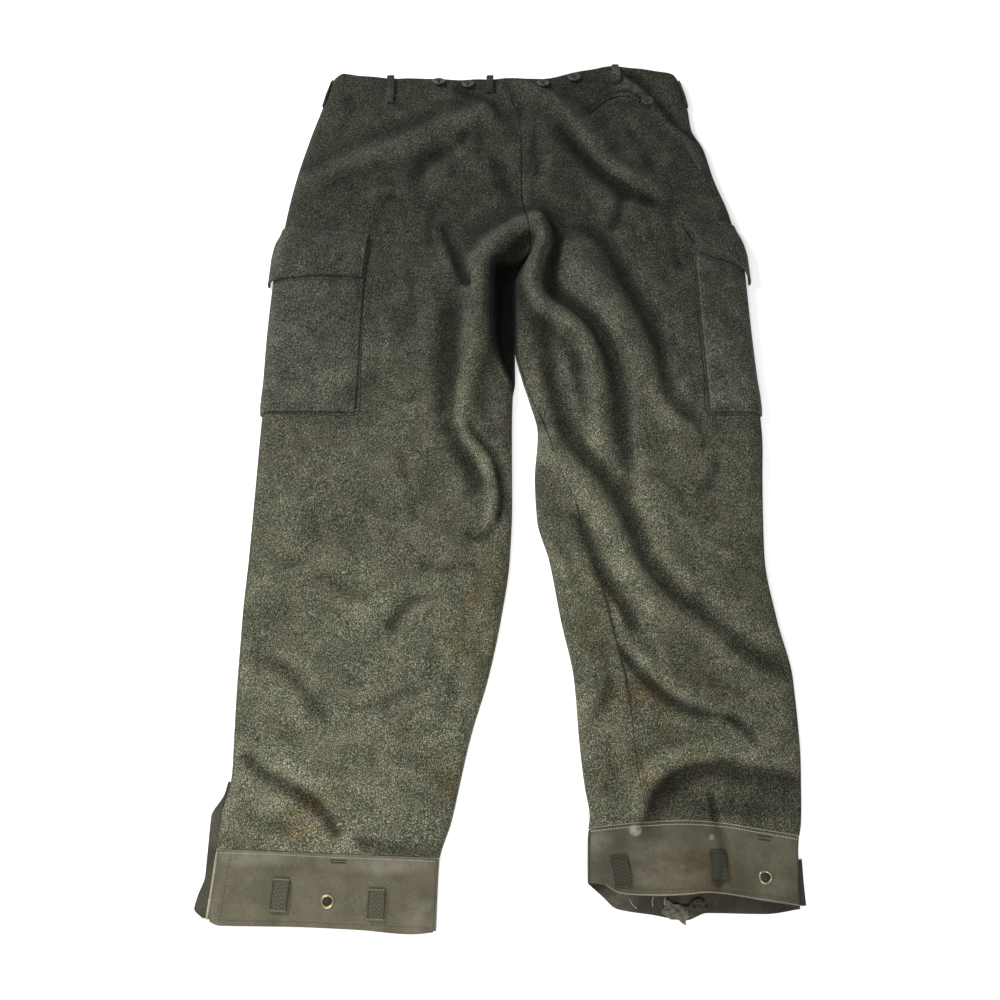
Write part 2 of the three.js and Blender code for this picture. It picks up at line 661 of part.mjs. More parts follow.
const FLAP_COLUMNS = [-0.15, 0, 0.25, 0.5, 0.75, 1, 1.4, 1.8, 2];
const FLAP_ROWS = [0, 0.25, 0.55, 0.73, 0.87, 1];

const POCKET_MOUTH = 14; // length over which a pocket flattens towards its mouth

// How far a pocket stands off the panel, at a height and a distance in from the leg's edge.
function pocketLift(pocket, up, inward) {
  const fromFoot = smooth((up - pocket.foot) / POCKET_EDGE);
  const fromMouth = smooth((pocket.head - up) / POCKET_MOUTH);
  const fromSide = smooth((pocket.reach - inward) / POCKET_EDGE);
  const fromEdge = mix(0.3, 1, smooth(inward / POCKET_EDGE));
  return POCKET_LIFT + pocket.puff * fromFoot * fromMouth * fromSide * fromEdge;
}

for (const [side, leg] of Object.entries(legs)) {
  const line = panelLine(leg);
  const pocket = POCKETS[side];
  const flap = FLAPS[side];
  const pocketWall = clothWall(POCKET_ROWS, POCKET_COLUMNS, WOOL, (row, column) => {
    const up = mix(pocket.foot, pocket.head, row);
    const lift = pocketLift(pocket, up, reachFromEdge(pocket.reach, column));
    return liftedPoint(leg, up, reachPlace(leg, up, pocket.reach, column), lift, line);
  });
  addPiece("cargo_pocket_" + side, pocketWall, pocketWool);
  const flapWall = clothWall(FLAP_ROWS, FLAP_COLUMNS, WOOL, (row, column) => {
    const reach = mix(flap.reachFoot, flap.reachHead, row);
    const inward = reachFromEdge(reach, column);
    const foot = sample(flap.edges, "in", "foot", inward);
    const up = mix(foot, sample(flap.edges, "in", "head", inward), row);
    const onPocket = pocketLift(pocket, up - POCKET_MOUTH, Math.min(inward, pocket.reach - POCKET_EDGE));
    const lift = mix(POCKET_LIFT, onPocket + POCKET_LIFT, smooth((1 - row) / FLAP_TURN));
    return liftedPoint(leg, up, reachPlace(leg, up, reach, column), lift, line);
  });
  addPiece("cargo_flap_" + side, flapWall, pocketWool);
}

// Ring place and nominal height of a point given by x and y on the back of the garment.
function spotOf(leg, line, x, y) {
  let up = y;
  for (let turn = 0; turn < 25; turn += 1) up += (y - line(x, up)) * 0.6;
  const { outer, width } = edgesAt(leg, up);
  return { up, place: placeFromOuter(width, Math.abs(x - outer)) };
}

// Strip of tape or cloth on a panel, along a path across the garment, arched between its sewn ends.
function strip(leg, line, path, width, thickness, lift, arch) {
  const curve = new THREE.CatmullRomCurve3(path.map(([x, y]) => new THREE.Vector3(x, y, 0)));
  const rows = spread(0, 1, path.length > 2 ? 8 : 4);
  return clothWall(rows, [-0.5, 0, 0.5], thickness, (row, column) => {
    const share = clamp01(row);
    const centre = curve.getPoint(share);
    const travel = curve.getTangent(share);
    const x = centre.x + travel.y * column * width;
    const y = centre.y - travel.x * column * width + (row - share) * (path[1][1] - path[0][1]);
    const spot = spotOf(leg, line, x, y);
    return liftedPoint(leg, spot.up, spot.place, lift + arch(share, column), line);
  });
}

// Belt loops: top middle point and foot of each.
const BELT_LOOPS = {
  belt_loop_back_left: { side: "left", path: [[-143, 1050], [-143, 1012]] },
  belt_loop_centre_back: { side: "left", path: [[-13, 1048], [-13, 1024]] },
  belt_loop_back_right: { side: "right", path: [[146, 1065], [147, 1036]] },
};
const LOOP_WIDTH = 9.5;
const LOOP_ARCH = 2.6;
const loopArch = (share) => LOOP_ARCH * Math.sin(Math.PI * share);
for (const [name, loop] of Object.entries(BELT_LOOPS)) {
  const leg = legs[loop.side];
  const wall = strip(leg, panelLine(leg), loop.path, LOOP_WIDTH, TAPE, onCloth(WOOL, TAPE), loopArch);
  addPiece(name, wall, wool);
}

// Side belt loops stand on the very edge of the waist.
const SIDE_LOOP = { foot: 1010, head: 1046, from: -0.05, to: 0.5 };
for (const [side, leg] of Object.entries(legs)) {
  const rows = spread(0, 1, 4);
  const wall = clothWall(rows, [SIDE_LOOP.from, 0.2, SIDE_LOOP.to], TAPE, (row, place) => {
    const up = mix(SIDE_LOOP.foot, SIDE_LOOP.head, row);
    return liftedPoint(leg, up, place, onCloth(WOOL, TAPE) + SEAM_GAP + loopArch(row), panelLine(leg));
  });
  addPiece("belt_loop_side_" + side, wall, wool);
}

// Tape loops on the cuffs: head and foot of each.
const TAPE_LOOPS = {
  tape_loop_left_1: { side: "left", path: [[-221, 57], [-223, 25]] },
  tape_loop_left_2: { side: "left", path: [[-124, 47], [-125, 17]] },
  tape_loop_right_1: { side: "right", path: [[120, 79], [124, 49]] },
  tape_loop_right_2: { side: "right", path: [[222, 84], [222, 53]] },
};
const TAPE_WIDTH = 17;
const TAPE_EASE = 0.5; // the tape's turned-under ends hold it off the canvas
for (const [name, loop] of Object.entries(TAPE_LOOPS)) {
  const leg = legs[loop.side];
  const lift = onCloth(CANVAS, TAPE) + TAPE_EASE;
  const wall = strip(leg, cuffLine(leg, "back"), loop.path, TAPE_WIDTH, TAPE, lift, loopArch);
  addPiece(name, wall, tape);
}

// Lip of the hip pocket, a rounded welt along its curved mouth.
const WELT = {
  path: [[113, 997], [129, 1013], [149, 1024], [169, 1025], [181, 1019]],
  width: 8,
  thickness: 1.8,
  crown: 1.2,
};
const weltCrown = (share, column) => WELT.crown * (1 - 4 * column ** 2);
const weltLift = onCloth(WOOL, WELT.thickness);
const seatLine = panelLine(legs.right);
const weltWall = strip(legs.right, seatLine, WELT.path, WELT.width, WELT.thickness, weltLift, weltCrown);
addPiece("hip_pocket_welt", weltWall, wool);

// Fly underlap, inside the closed front.
const FLY = { foot: 860, head: 1040, width: 40 };
const flyWall = clothWall(spread(FLY.foot, FLY.head, 4), [-0.5, 0.5], WOOL, (up, share) =>
  new THREE.Vector3(sample(SEAT_SEAM, "up", "x", up) + share * FLY.width, up, UNDER_Z + onCloth(WOOL, WOOL)));
addPiece("fly_underlap", flyWall, wool);

// ---------- Buttons and eyelets ----------
// Seats a turned piece on the cloth, its axis along the cloth's outward direction.
function seat(piece, leg, line, x, y, lift) {
  const spot = spotOf(leg, line, x, y);
  const low = liftedPoint(leg, spot.up, spot.place, 0, line);
  const high = liftedPoint(leg, spot.up, spot.place, lift, line);
  piece.position.copy(high);
  piece.quaternion.setFromUnitVectors(new THREE.Vector3(0, 0, 1), high.clone().sub(low).normalize());
}

const turned = (profile, segments) =>
  new THREE.LatheGeometry(profile.map(([r, z]) => new THREE.Vector2(r, z)), segments).rotateX(Math.PI / 2);
const buttonProfile = [
  [0, -BUTTON_SHANK.neck],
  [BUTTON_SHANK.radius, -BUTTON_SHANK.neck],
  [BUTTON_SHANK.radius, 0],
  [BUTTON_RADIUS * 0.8, 0],
  [BUTTON_RADIUS, BUTTON_THICKNESS * 0.5],
  [BUTTON_RADIUS * 0.9, BUTTON_THICKNESS],
  [BUTTON_RADIUS * 0.66, BUTTON_THICKNESS * 0.94],
  [BUTTON_RADIUS * 0.6, BUTTON_THICKNESS * 0.62],
  [0, BUTTON_THICKNESS * 0.62],
];
const BUTTONS = {
  brace_button_1: { side: "left", x: -80, y: 1045 },
  brace_button_2: { side: "left", x: -42, y: 1043 },
  brace_button_3: { side: "right", x: 56, y: 1042 },
  brace_button_4: { side: "right", x: 97, y: 1053 },
  hip_pocket_button: { side: "right", x: 192, y: 1011 },
};
for (const [name, button] of Object.entries(BUTTONS)) {
  const leg = legs[button.side];
  const piece = addPiece(name, turned(buttonProfile, 18), horn);
  seat(piece, leg, panelLine(leg), button.x, button.y, WOOL / 2 + BUTTON_SHANK.clearance);
}

const eyeletProfile = [
  [EYELET.hole, 0],
  [EYELET.outer, 0],
  [EYELET.outer - 0.6, EYELET.height * 0.8],
  [(EYELET.outer + EYELET.hole) / 2, EYELET.height],
  [EYELET.hole, EYELET.height * 0.7],
  [EYELET.hole, 0],
];
const EYELETS = {
  eyelet_left: { side: "left", x: -174, y: 35 },
  eyelet_right: { side: "right", x: 269, y: 58 },
};
for (const [name, place] of Object.entries(EYELETS)) {
  const leg = legs[place.side];
  const piece = addPiece(name, turned(eyeletProfile, 18), brass);
  seat(piece, leg, cuffLine(leg, "back"), place.x, place.y, CANVAS / 2 + SEAM_GAP);
}

export default garment;
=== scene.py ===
"""Looks of heavy wool cargo trousers that lie flat, back up, on a pale floor.

Tables and lengths are in millimetres. x runs from the centre line towards the wearer's right leg, y from the
lowest hem up to the waist and z up from the floor. to_row() turns them into metres in the part's own frame.
"""
import math

import bpy
import numpy as np
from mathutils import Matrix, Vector


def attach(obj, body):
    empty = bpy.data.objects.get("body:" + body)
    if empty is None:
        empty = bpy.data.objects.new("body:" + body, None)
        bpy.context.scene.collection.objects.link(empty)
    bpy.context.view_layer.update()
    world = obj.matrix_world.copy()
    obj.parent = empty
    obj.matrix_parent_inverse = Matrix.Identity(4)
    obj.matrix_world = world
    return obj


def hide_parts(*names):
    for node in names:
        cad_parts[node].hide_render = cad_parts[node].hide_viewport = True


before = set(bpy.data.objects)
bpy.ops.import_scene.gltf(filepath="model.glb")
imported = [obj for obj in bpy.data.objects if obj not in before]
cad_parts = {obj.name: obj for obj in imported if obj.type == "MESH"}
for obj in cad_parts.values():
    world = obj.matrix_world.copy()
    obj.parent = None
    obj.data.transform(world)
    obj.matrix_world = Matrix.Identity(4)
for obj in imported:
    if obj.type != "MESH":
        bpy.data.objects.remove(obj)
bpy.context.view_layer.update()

# ---------- Driving sizes ----------
MM = 0.001
WOOL = 2.0
CANVAS = 1.4
TAPE = 1.2
SEAM_GAP = 0.3
CENTRE_X = 3.7
CENTRE_Y = 537.6
UNDER_Z = WOOL / 2
EDGE_RADIUS = 3.5
EDGE_Z = UNDER_Z + EDGE_RADIUS
ROLL = 18.0
LEAST_HEIGHT = 8.5
POCKET_HOLLOW = 6.5
HOLLOW_SLOPE = 8.0
CUFF_TOP = 85.0
CROTCH = 777.0
CROTCH_FORK = 24.0
CROTCH_EASE = 0.2
EASE_LENGTH = 30.0
WAIST = 1052.0
WARP = 110.0
HEM_UP = 36.0
CUFF_SEAM_GAP = 0.45
# Small waves of the waist edge: heights and lengths over 2 pi, and the length and phase of what swells the
# first one.
WAIST_WAVES = {"high": 0.9, "long": 13.0, "swell": 37.0, "phase": 1.0, "low": 0.5, "short": 7.0}
# Painted shade: a dark line where the two legs meet below the fork: its x and y limits and how far it fades at
# each.
MEETING = {
    "left": 8, "left_slope": 5, "right": 20.5, "right_slope": 3,
    "foot": 640, "foot_slope": 20, "head": 784, "head_slope": 22,
}
# Reach and height of the crest map, which gives painted light on fold crests and painted shade in fold
# hollows, and the depth and edge width of the painted shade in the hollow between the thighs.
CREST_REACH = 16
CREST_HEIGHT = 3.4
HOLLOW_TONE = 3
HOLLOW_TONE_SLOPE = 9.0


def table(names, *rows):
    """Columns by name, each a numpy array, from rows of numbers."""
    return dict(zip(names.split(), np.array(rows, float).T))


# ---------- Cut and pose ----------
OUTLINE = {
    "left": table(
        "up outer inner loft",
        (0, -298, -66, 12), (36, -294, -65, 13), (82, -291, -63, 13), (120, -288, -51, 13),
        (162, -281, -41, 14), (207, -282, -30, 14), (261, -283, -14, 14), (327, -283, 0, 15),
        (396, -281, 10, 16), (468, -280, 13, 16), (542, -279, 13, 16), (595, -278, 14, 16),
        (616, -277, 17, 16), (650, -277, 16.9, 16), (780, -273, 16.9, 18), (842, -267, 16.9, 18),
        (900, -258, 16.9, 17), (962, -244, 16.9, 16), (1011, -231, 16.9, 15), (1052, -221, 16.9, 14),
    ),
    "right": table(
        "up outer inner loft",
        (0, 302, 90, 12), (36, 303, 90, 13), (75, 306, 91, 13), (99, 311, 94, 13),
        (135, 314, 90, 13), (197, 317, 85, 14), (261, 316, 81, 14), (327, 304, 68, 15),
        (396, 296, 56, 16), (444, 298, 43, 16), (492, 301, 41, 16), (550, 305, 45, 16),
        (593, 304, 35, 16), (620, 302, 27, 16), (670, 300, 17.4, 17), (780, 297, 17.4, 18),
        (842, 288, 17.4, 18), (900, 271, 17.4, 17), (945, 261, 17.4, 16), (978, 247, 17.4, 15),
        (1011, 244, 17.4, 14), (1052, 236, 17.4, 14),
    ),
}
SEAT_SEAM = table(
    "up x", (770, 38), (796, 37), (833, 32), (870, 27), (941, 27), (987, 25), (1011, 16), (1052, 7)
)
PLAIN_SEAMS = table("up side inseam", (0, 2, 2), (1100, 2, 2))
RIGHT_SEAMS = table(
    "up side inseam",
    (0, 2, 53), (199, 2, 57), (300, 2, 53), (369, 2, 50), (449, 2, 46), (502, 2, 27), (560, 2, 7),
    (610, 2, 2), (890, 2, 2), (935, 8, 2), (970, 12, 2), (1006, 36, 2), (1038, 60, 2), (1052, 82, 2),
)
WAIST_LINE = table(
    "x y",
    (-222, 1050), (-204, 1061), (-157, 1054), (-105, 1052), (52, 1052), (118, 1068), (154, 1071),
    (212, 1064), (226, 1060), (236, 1049),
)
CUFF_LINE = {
    "left": table("x y", (-291, 86), (-172, 81), (-60, 77)),
    "right": table("x y", (90, 105), (142, 111), (189, 113), (226, 111), (262, 105), (311, 98)),
}
HEM = {
    "left": table(
        "x back front",
        (-297, 18, 19), (-280, 12, 15), (-213, 11, 14), (-141, 8, 11), (-88, 4, 7), (-64, 6, 7),
    ),
    "right": table(
        "x back front",
        (89, 53, 53), (104, 51, 40), (118, 43, 28), (156, 40, 22), (188, 41, 17), (210, 43, 24),
        (268, 35, 23), (311, 29, 29),
    ),
}
HOLLOW = table(
    "up left right",
    (598, 17, 17), (611, 14, 17.3), (628, 7, 17.6), (640, 2, 18), (654, -3, 18.5), (680, -7, 18.5),
    (723, -8, 18), (745, -8, 19), (765, -8, 26), (790, -2, 43),
)
SEAT_LIP = table("x y", (-20, 772), (-4, 776), (14, 772), (36, 781), (52, 789))

# Folds of the back layer: widths on the left and right of the path, heights at its start and end, the path.
FOLDS = [
    # seat
    (15, 20, 4, 7, [(-262, 872), (-211, 907), (-176, 925), (-135, 943), (-100, 960), (-58, 983), (-19, 997)]),
    (14, 16, 5, 2, [(-19, 997), (-8, 980), (-4, 955)]),
    (12, 14, -5, -6, [(-108, 893), (-102, 915), (-88, 928), (-66, 937)]),
    (6, 6, -3, -3, [(-43, 970), (-50, 946)]),
    (9, 9, -3, -2, [(-57, 922), (-60, 895)]),
    (18, 18, -2, -1.5, [(-42, 1060), (-42, 1010)]),
    (7, 7, -3, -3, [(-8, 1016), (2, 984)]),
    (12, 12, -4, -4, [(-7, 928), (2, 895), (12, 868)]),
    (16, 14, 4, 6, [(26, 1040), (78, 1006), (103, 979), (124, 940)]),
    (11, 16, -4, -9, [(70, 982), (91, 952), (119, 918), (143, 893), (156, 883)]),
    (8, 14, -9, -4, [(156, 883), (177, 869), (200, 860)]),
    (12, 8, 4, 7, [(118, 938), (134, 917), (153, 904)]),
    (12, 8, 7, 4, [(153, 904), (184, 881), (207, 868)]),
    (8, 8, -4, -4, [(154, 878), (149, 846), (138, 820)]),
    (6, 7, -2, -2, [(166, 970), (180, 945), (190, 922), (196, 898)]),
    (5, 6, 4, 3.6, [(149, 1060), (179, 1034), (199, 1004), (214, 981), (238, 955), (257, 912)]),
    (6, 11, -3.4, -3, [(170, 1062), (196, 1036), (213, 1004), (227, 980), (248, 952)]),
    # crotch and the hollow between the thighs
    (5, 6, -3, -13, [(-71, 828), (-64, 801), (-50, 768), (-36, 736)]),
    (8, 8, 1, 3, [(-76, 826), (-68, 795), (-60, 764)]),
    (6, 6, -2, -1.5, [(-82, 855), (-88, 820), (-84, 795)]),
    (20, 14, 14, 24, [(-28, 645), (-27, 708), (-22, 768), (-6, 790), (24, 813), (50, 826)]),
    (15, 20, -7, -6, [(-60, 712), (-65, 650), (-62, 600), (-58, 560)]),
    (13, 12, -7, -7, [(-58, 560), (-45, 530), (-31, 500), (-28, 476)]),
    (11, 12, 9, 8, [(-30, 650), (-43, 590), (-40, 550), (-24, 525)]),
    (9, 7, 7, 5, [(-24, 525), (-14, 505), (-9, 478), (-11, 432)]),
    (6, 6, -7, -6, [(-40, 562), (-24, 537), (-10, 520), (-1, 500)]),
    (6, 7, -8, -4, [(-1, 500), (4, 470), (-2, 442)]),
    (5, 5, -4, -2, [(-2, 442), (-12, 425), (-26, 418), (-38, 430)]),
    (13, 13, 21, 20, [(48, 828), (56, 806), (50, 785), (42, 765), (38, 745)]),
    (11, 12, 18, 12, [(38, 745), (43, 727), (53, 711), (72, 700)]),
    (11, 12, 12, 9, [(72, 700), (95, 683), (107, 660), (111, 635)]),
    (12, 14, 9, 5, [(111, 635), (112, 590), (114, 525)]),
    (8, 8, -9, -9, [(57, 840), (65, 815), (68, 797), (62, 772), (60, 752), (68, 732)]),
    (22, 20, 10, 9, [(82, 800), (100, 760), (122, 722), (144, 690)]),
    (20, 18, 9, 5, [(144, 690), (166, 655), (180, 615), (193, 580), (215, 545)]),
    (14, 12, -5, -6, [(106, 826), (130, 803), (147, 765)]),
    (13, 12, -7, -7, [(147, 765), (160, 736), (175, 707), (184, 681)]),
    (12, 12, -7, -5, [(184, 681), (191, 651), (194, 615), (204, 584), (228, 564)]),
    (9, 10, -9, -9, [(68, 732), (88, 714), (107, 694), (122, 672)]),
    (9, 11, -9, -7, [(122, 672), (134, 645), (140, 608), (143, 580)]),
    (8, 12, -7, -4, [(143, 580), (146, 530), (148, 468)]),
    (10, 11, -4, -7, [(56, 700), (57, 650), (64, 600), (77, 552)]),
    (12, 13, -8, -8, [(77, 552), (97, 523), (119, 498), (138, 466)]),
    # right knee and shin
    (18, 18, 7, 8, [(42, 545), (60, 515), (84, 487), (112, 450)]),
    (18, 17, 8, 5, [(112, 450), (126, 418), (142, 378), (166, 341), (180, 308)]),
    (12, 13, -9, -8, [(138, 466), (153, 430), (166, 392), (190, 361)]),
    (14, 13, -8, -5, [(190, 361), (214, 340), (240, 318), (266, 295), (290, 279), (314, 268)]),
    (7, 7, -4, -5, [(88, 442), (96, 420), (108, 388), (122, 363)]),
    (6, 7, -5, -4, [(122, 363), (134, 346), (146, 316)]),
    (7, 8, -4, -5, [(131, 293), (150, 269), (176, 243)]),
    (6, 8, -5, -3, [(176, 243), (199, 229), (223, 221)]),
    (6, 7, -3, -2, [(246, 219), (270, 201)]),
    (8, 8, 3, 3, [(150, 283), (180, 256), (210, 240)]),
    (7, 7, -2, -4, [(105, 298), (115, 272), (119, 256)]),
    (7, 7, -5, -3, [(119, 256), (112, 238), (103, 220)]),
    (12, 10, 5, 5, [(145, 118), (149, 146), (168, 168), (198, 181), (234, 184)]),
    (8, 14, -5, -6, [(150, 104), (160, 132), (182, 156), (214, 168), (240, 170)]),
    (8, 16, -6, -5, [(236, 168), (275, 163), (314, 154)]),
    # left knee and shin
    (12, 12, -3, -3, [(-200, 378), (-172, 362), (-146, 350)]),
    (6, 7, -2, -4, [(-74, 353), (-98, 344), (-112, 331), (-119, 313)]),
    (9, 10, -3, -3, [(-262, 284), (-232, 271), (-208, 246), (-182, 214)]),
    (7, 10, -3, -5, [(-270, 181), (-244, 160), (-214, 144), (-196, 134)]),
    (6, 7, -6, -4, [(-196, 134), (-184, 124), (-175, 112), (-164, 97)]),
    (16, 12, 3, 3, [(-250, 192), (-215, 166), (-170, 142)]),
    (6, 8, -3, -2, [(-146, 95), (-122, 87), (-95, 85), (-66, 84)]),
    # right cuff
    (34, 34, 7, 9, [(112, 40), (150, 34), (206, 38)]),
]
# Finer creases that only the cloth shows.
CREASES = [
    (2.6, 2.6, -2.6, -3.4, [(112, 998), (125, 1012), (140, 1023), (157, 1030), (171, 1030), (181, 1023)]),
    (5, 4, 1.6, 2.6, [(118, 990), (131, 1004), (144, 1014), (158, 1021), (172, 1020)]),
    (4, 4, 2.0, 2.2, [(150, 1038), (170, 1038), (186, 1028), (202, 1008)]),
    (3, 3, -3.4, -3.4, [(181, 1023), (187, 1012), (195, 1000)]),
    (4, 5, -3.8, -2.6, [(219, 140), (224, 110), (230, 86), (221, 46)]),
    (3, 5, -1.6, -1.0, [(-262, 120), (-240, 110), (-214, 104)]),
    (4, 4, -1.6, -1.4, [(-172, 271), (-148, 254)]),
    (4, 4, -1.8, -1.6, [(-137, 191), (-133, 170)]),
    (5, 5, -1.6, -1.0, [(-88, 386), (-62, 384), (-36, 388), (-18, 379)]),
    (4, 5, -1.4, -1.8, [(-116, 530), (-106, 490), (-99, 462), (-96, 440)]),
    (6, 6, -2.0, -1.6, [(-242, 556), (-233, 546), (-226, 520)]),
    (5, 7, 1.1, 0.6, [(-210, 330), (-180, 318), (-150, 300)]),
    (6, 6, -1.4, -1.0, [(-90, 255), (-120, 236), (-160, 228)]),
    (5, 5, -1.4, -1.0, [(-40, 300), (-50, 270), (-52, 240)]),
    (6, 5, 1.2, 1.2, [(-150, 440), (-110, 428), (-84, 405)]),
    (5, 5, -1.4, -1.4, [(-236, 480), (-214, 452), (-206, 420)]),
    (6, 7, -1.6, -1.2, [(-250, 398), (-232, 388), (-214, 392)]),
    (5, 6, -1.4, -1.2, [(-176, 962), (-170, 952)]),
    (9, 9, 1.6, 1.4, [(-176, 978), (-120, 996), (-84, 1008)]),
    (7, 7, -1.8, -1.6, [(-200, 1030), (-198, 985), (-206, 960)]),
    (6, 7, -1.5, -1.2, [(-130, 875), (-150, 850), (-156, 815)]),
    (7, 7, 1.6, 1.4, [(-176, 865), (-146, 876), (-112, 872)]),
    (5, 6, -1.6, -1.2, [(-110, 760), (-104, 720), (-106, 680)]),
    (6, 7, 1.6, 1.2, [(-140, 700), (-134, 660), (-138, 610)]),
    (5, 5, -1.4, -1.2, [(-132, 600), (-112, 586), (-94, 600)]),
    (5, 5, -1.6, -1.4, [(46, 970), (44, 935), (48, 900)]),
    (6, 6, 1.6, 1.2, [(66, 940), (60, 900), (66, 866)]),
    (6, 7, 1.6, 1.4, [(30, 900), (34, 870), (30, 846)]),
    (5, 5, -1.2, -1.0, [(10, 1040), (24, 1012), (30, 985)]),
    (5, 5, -1.2, -1.2, [(-28, 1000), (-24, 960), (-30, 930)]),
    (6, 7, 1.6, 1.6, [(216, 936), (200, 914), (188, 890)]),
    (5, 6, -1.8, -1.4, [(210, 850), (214, 800), (222, 760)]),
    (6, 6, 1.8, 1.2, [(170, 850), (178, 810), (190, 770)]),
    (5, 6, -2.0, -1.6, [(206, 690), (211, 660), (216, 620)]),
    (4, 5, -2.0, -1.4, [(218, 660), (222, 630), (232, 590)]),
    (4, 5, 1.6, 1.2, [(212, 680), (216, 650), (222, 610)]),
    (4, 4, -1.8, -1.4, [(228, 562), (234, 544), (236, 528)]),
    (5, 5, 1.6, 1.2, [(74, 640), (86, 606), (92, 570)]),
    (5, 6, -1.6, -1.2, [(92, 650), (90, 620), (96, 590)]),
    (5, 5, -1.4, -1.4, [(250, 520), (244, 490), (228, 470)]),
    (5, 5, -1.6, -1.2, [(170, 500), (200, 480), (212, 452)]),
    (5, 6, 1.4, 1.2, [(200, 440), (230, 412), (268, 396)]),
    (6, 6, -1.5, -1.3, [(216, 392), (214, 370), (226, 350)]),
    (5, 5, -1.4, -1.6, [(60, 420), (76, 396), (86, 366)]),
    (5, 6, -1.4, -1.2, [(222, 270), (240, 252), (262, 246)]),
    (5, 6, 1.4, 1.2, [(166, 310), (176, 290), (182, 262)]),
    (5, 5, -1.4, -1.0, [(268, 196), (276, 186), (290, 182)]),
    (6, 6, -1.4, -1.2, [(112, 200), (118, 166), (110, 140)]),
    (4, 4, 1.4, 1.0, [(124, 344), (132, 320), (136, 300)]),
    (5, 5, -1.0, -1.0, [(270, 130), (252, 122), (232, 128)]),
    (2.4, 2.8, 3.0, 2.4, [(56, 792), (46, 767), (39.5, 740), (40.5, 719), (53, 698), (71, 680), (99, 650)]),
    (3.0, 3.4, 1.8, 1.8, [(-36, 740), (-20, 762), (-4, 783), (14, 811), (37, 823)]),
    (2.2, 3.0, -2.4, -2.2, [(128, 297), (150, 270), (176, 244), (199, 230), (226, 222)]),
    (2.4, 3.0, -2.2, -1.4, [(226, 222), (240, 221), (256, 211), (268, 196)]),
    (2.6, 2.6, 1.4, 1.4, [(138, 292), (160, 269), (184, 249), (206, 238), (230, 230), (248, 226)]),
    (2.2, 2.6, -2.0, -2.2, [(-262, 176), (-244, 160), (-214, 144), (-184, 124), (-166, 98)]),
    (2.4, 3.0, -2.4, -2.4, [(138, 466), (153, 430), (166, 392), (190, 361), (214, 340), (240, 318)]),
    (
        2.4, 3.0, -2.4, -2.4,
        [(64, 842), (68, 815), (70, 797), (64, 772), (62, 752), (69, 732), (88, 712), (107, 692)],
    ),
    (2.4, 3.0, -2.0, -2.0, [(147, 765), (160, 736), (175, 707), (184, 681), (192, 651), (195, 615)]),
    (2.4, 2.8, -2.0, -2.2, [(76, 978), (96, 948), (122, 915), (147, 890), (166, 877)]),
    (2.2, 2.6, -1.6, -1.6, [(-40, 562), (-24, 537), (-10, 520), (-1, 498), (4, 470), (-2, 442)]),
    (2.2, 2.2, -1.4, -1.4, [(207, 138), (208, 122)]),
    (2.4, 3.2, -2.4, -1.6, [(-60, 1036), (-41, 1029), (-26, 1022), (-10, 1012), (0, 992)]),
    (3.0, 3.0, 1.4, 1.4, [(-70, 1022), (-48, 1017), (-30, 1011), (-15, 1001)]),
    (2.4, 3.4, 2.2, 2.0, [(22, 1047), (45, 1037), (66, 1027), (79, 1010), (97, 984), (116, 956)]),
    (4, 4, -0.7, -0.7, [(-268, 62), (-200, 66), (-150, 58)]),
    (4, 4, -0.7, -0.6, [(-110, 60), (-84, 52), (-70, 36)]),
    (5, 5, 0.8, 0.6, [(130, 96), (160, 84), (196, 88)]),
    (5, 5, -0.8, -0.6, [(140, 70), (176, 62), (206, 68)]),
    (4, 5, -0.8, -0.5, [(240, 92), (262, 80), (292, 84)]),
]
MARK_STEP = 0.6
SIDE_BLEND = 8.0
WAVES = {"count": 46, "shortest": 22.0, "longest": 150.0, "height": 0.5, "seed": 7}


# ---------- Small maths ----------
def mix(a, b, share):
    return a + (b - a) * share


def smooth(value):
    """3 t^2 - 2 t^3 of the value held between 0 and 1."""
    t = np.clip(value, 0, 1)
    return t * t * (3 - 2 * t)


def unit(vectors):
    return vectors / np.maximum(np.linalg.norm(vectors, axis=-1, keepdims=True), 1e-9)


def sample(rows, along, column, value):
    """Monotone cubic through a table: Hermite pieces with harmonic mean slopes, so it never overshoots."""
    xs, ys = rows[along], rows[column]
    slope = np.diff(ys) / np.diff(xs)
    both = slope[1:] * slope[:-1]
    total = np.where(both > 0, slope[1:] + slope[:-1], 1)
    tangent = np.concatenate([slope[:1], np.where(both > 0, 2 * both / total, 0), slope[-1:]])
    at = np.clip(value, xs[0], xs[-1])
    i = np.clip(np.searchsorted(xs, at, side="right") - 1, 0, len(xs) - 2)
    span = xs[i + 1] - xs[i]
    t = (at - xs[i]) / span
    rise = ys[i + 1] - ys[i]
    start, end = tangent[i] * span, tangent[i + 1] * span
    return ys[i] + start * t + (3 * rise - 2 * start - end) * t**2 + (start + end - 2 * rise) * t**3


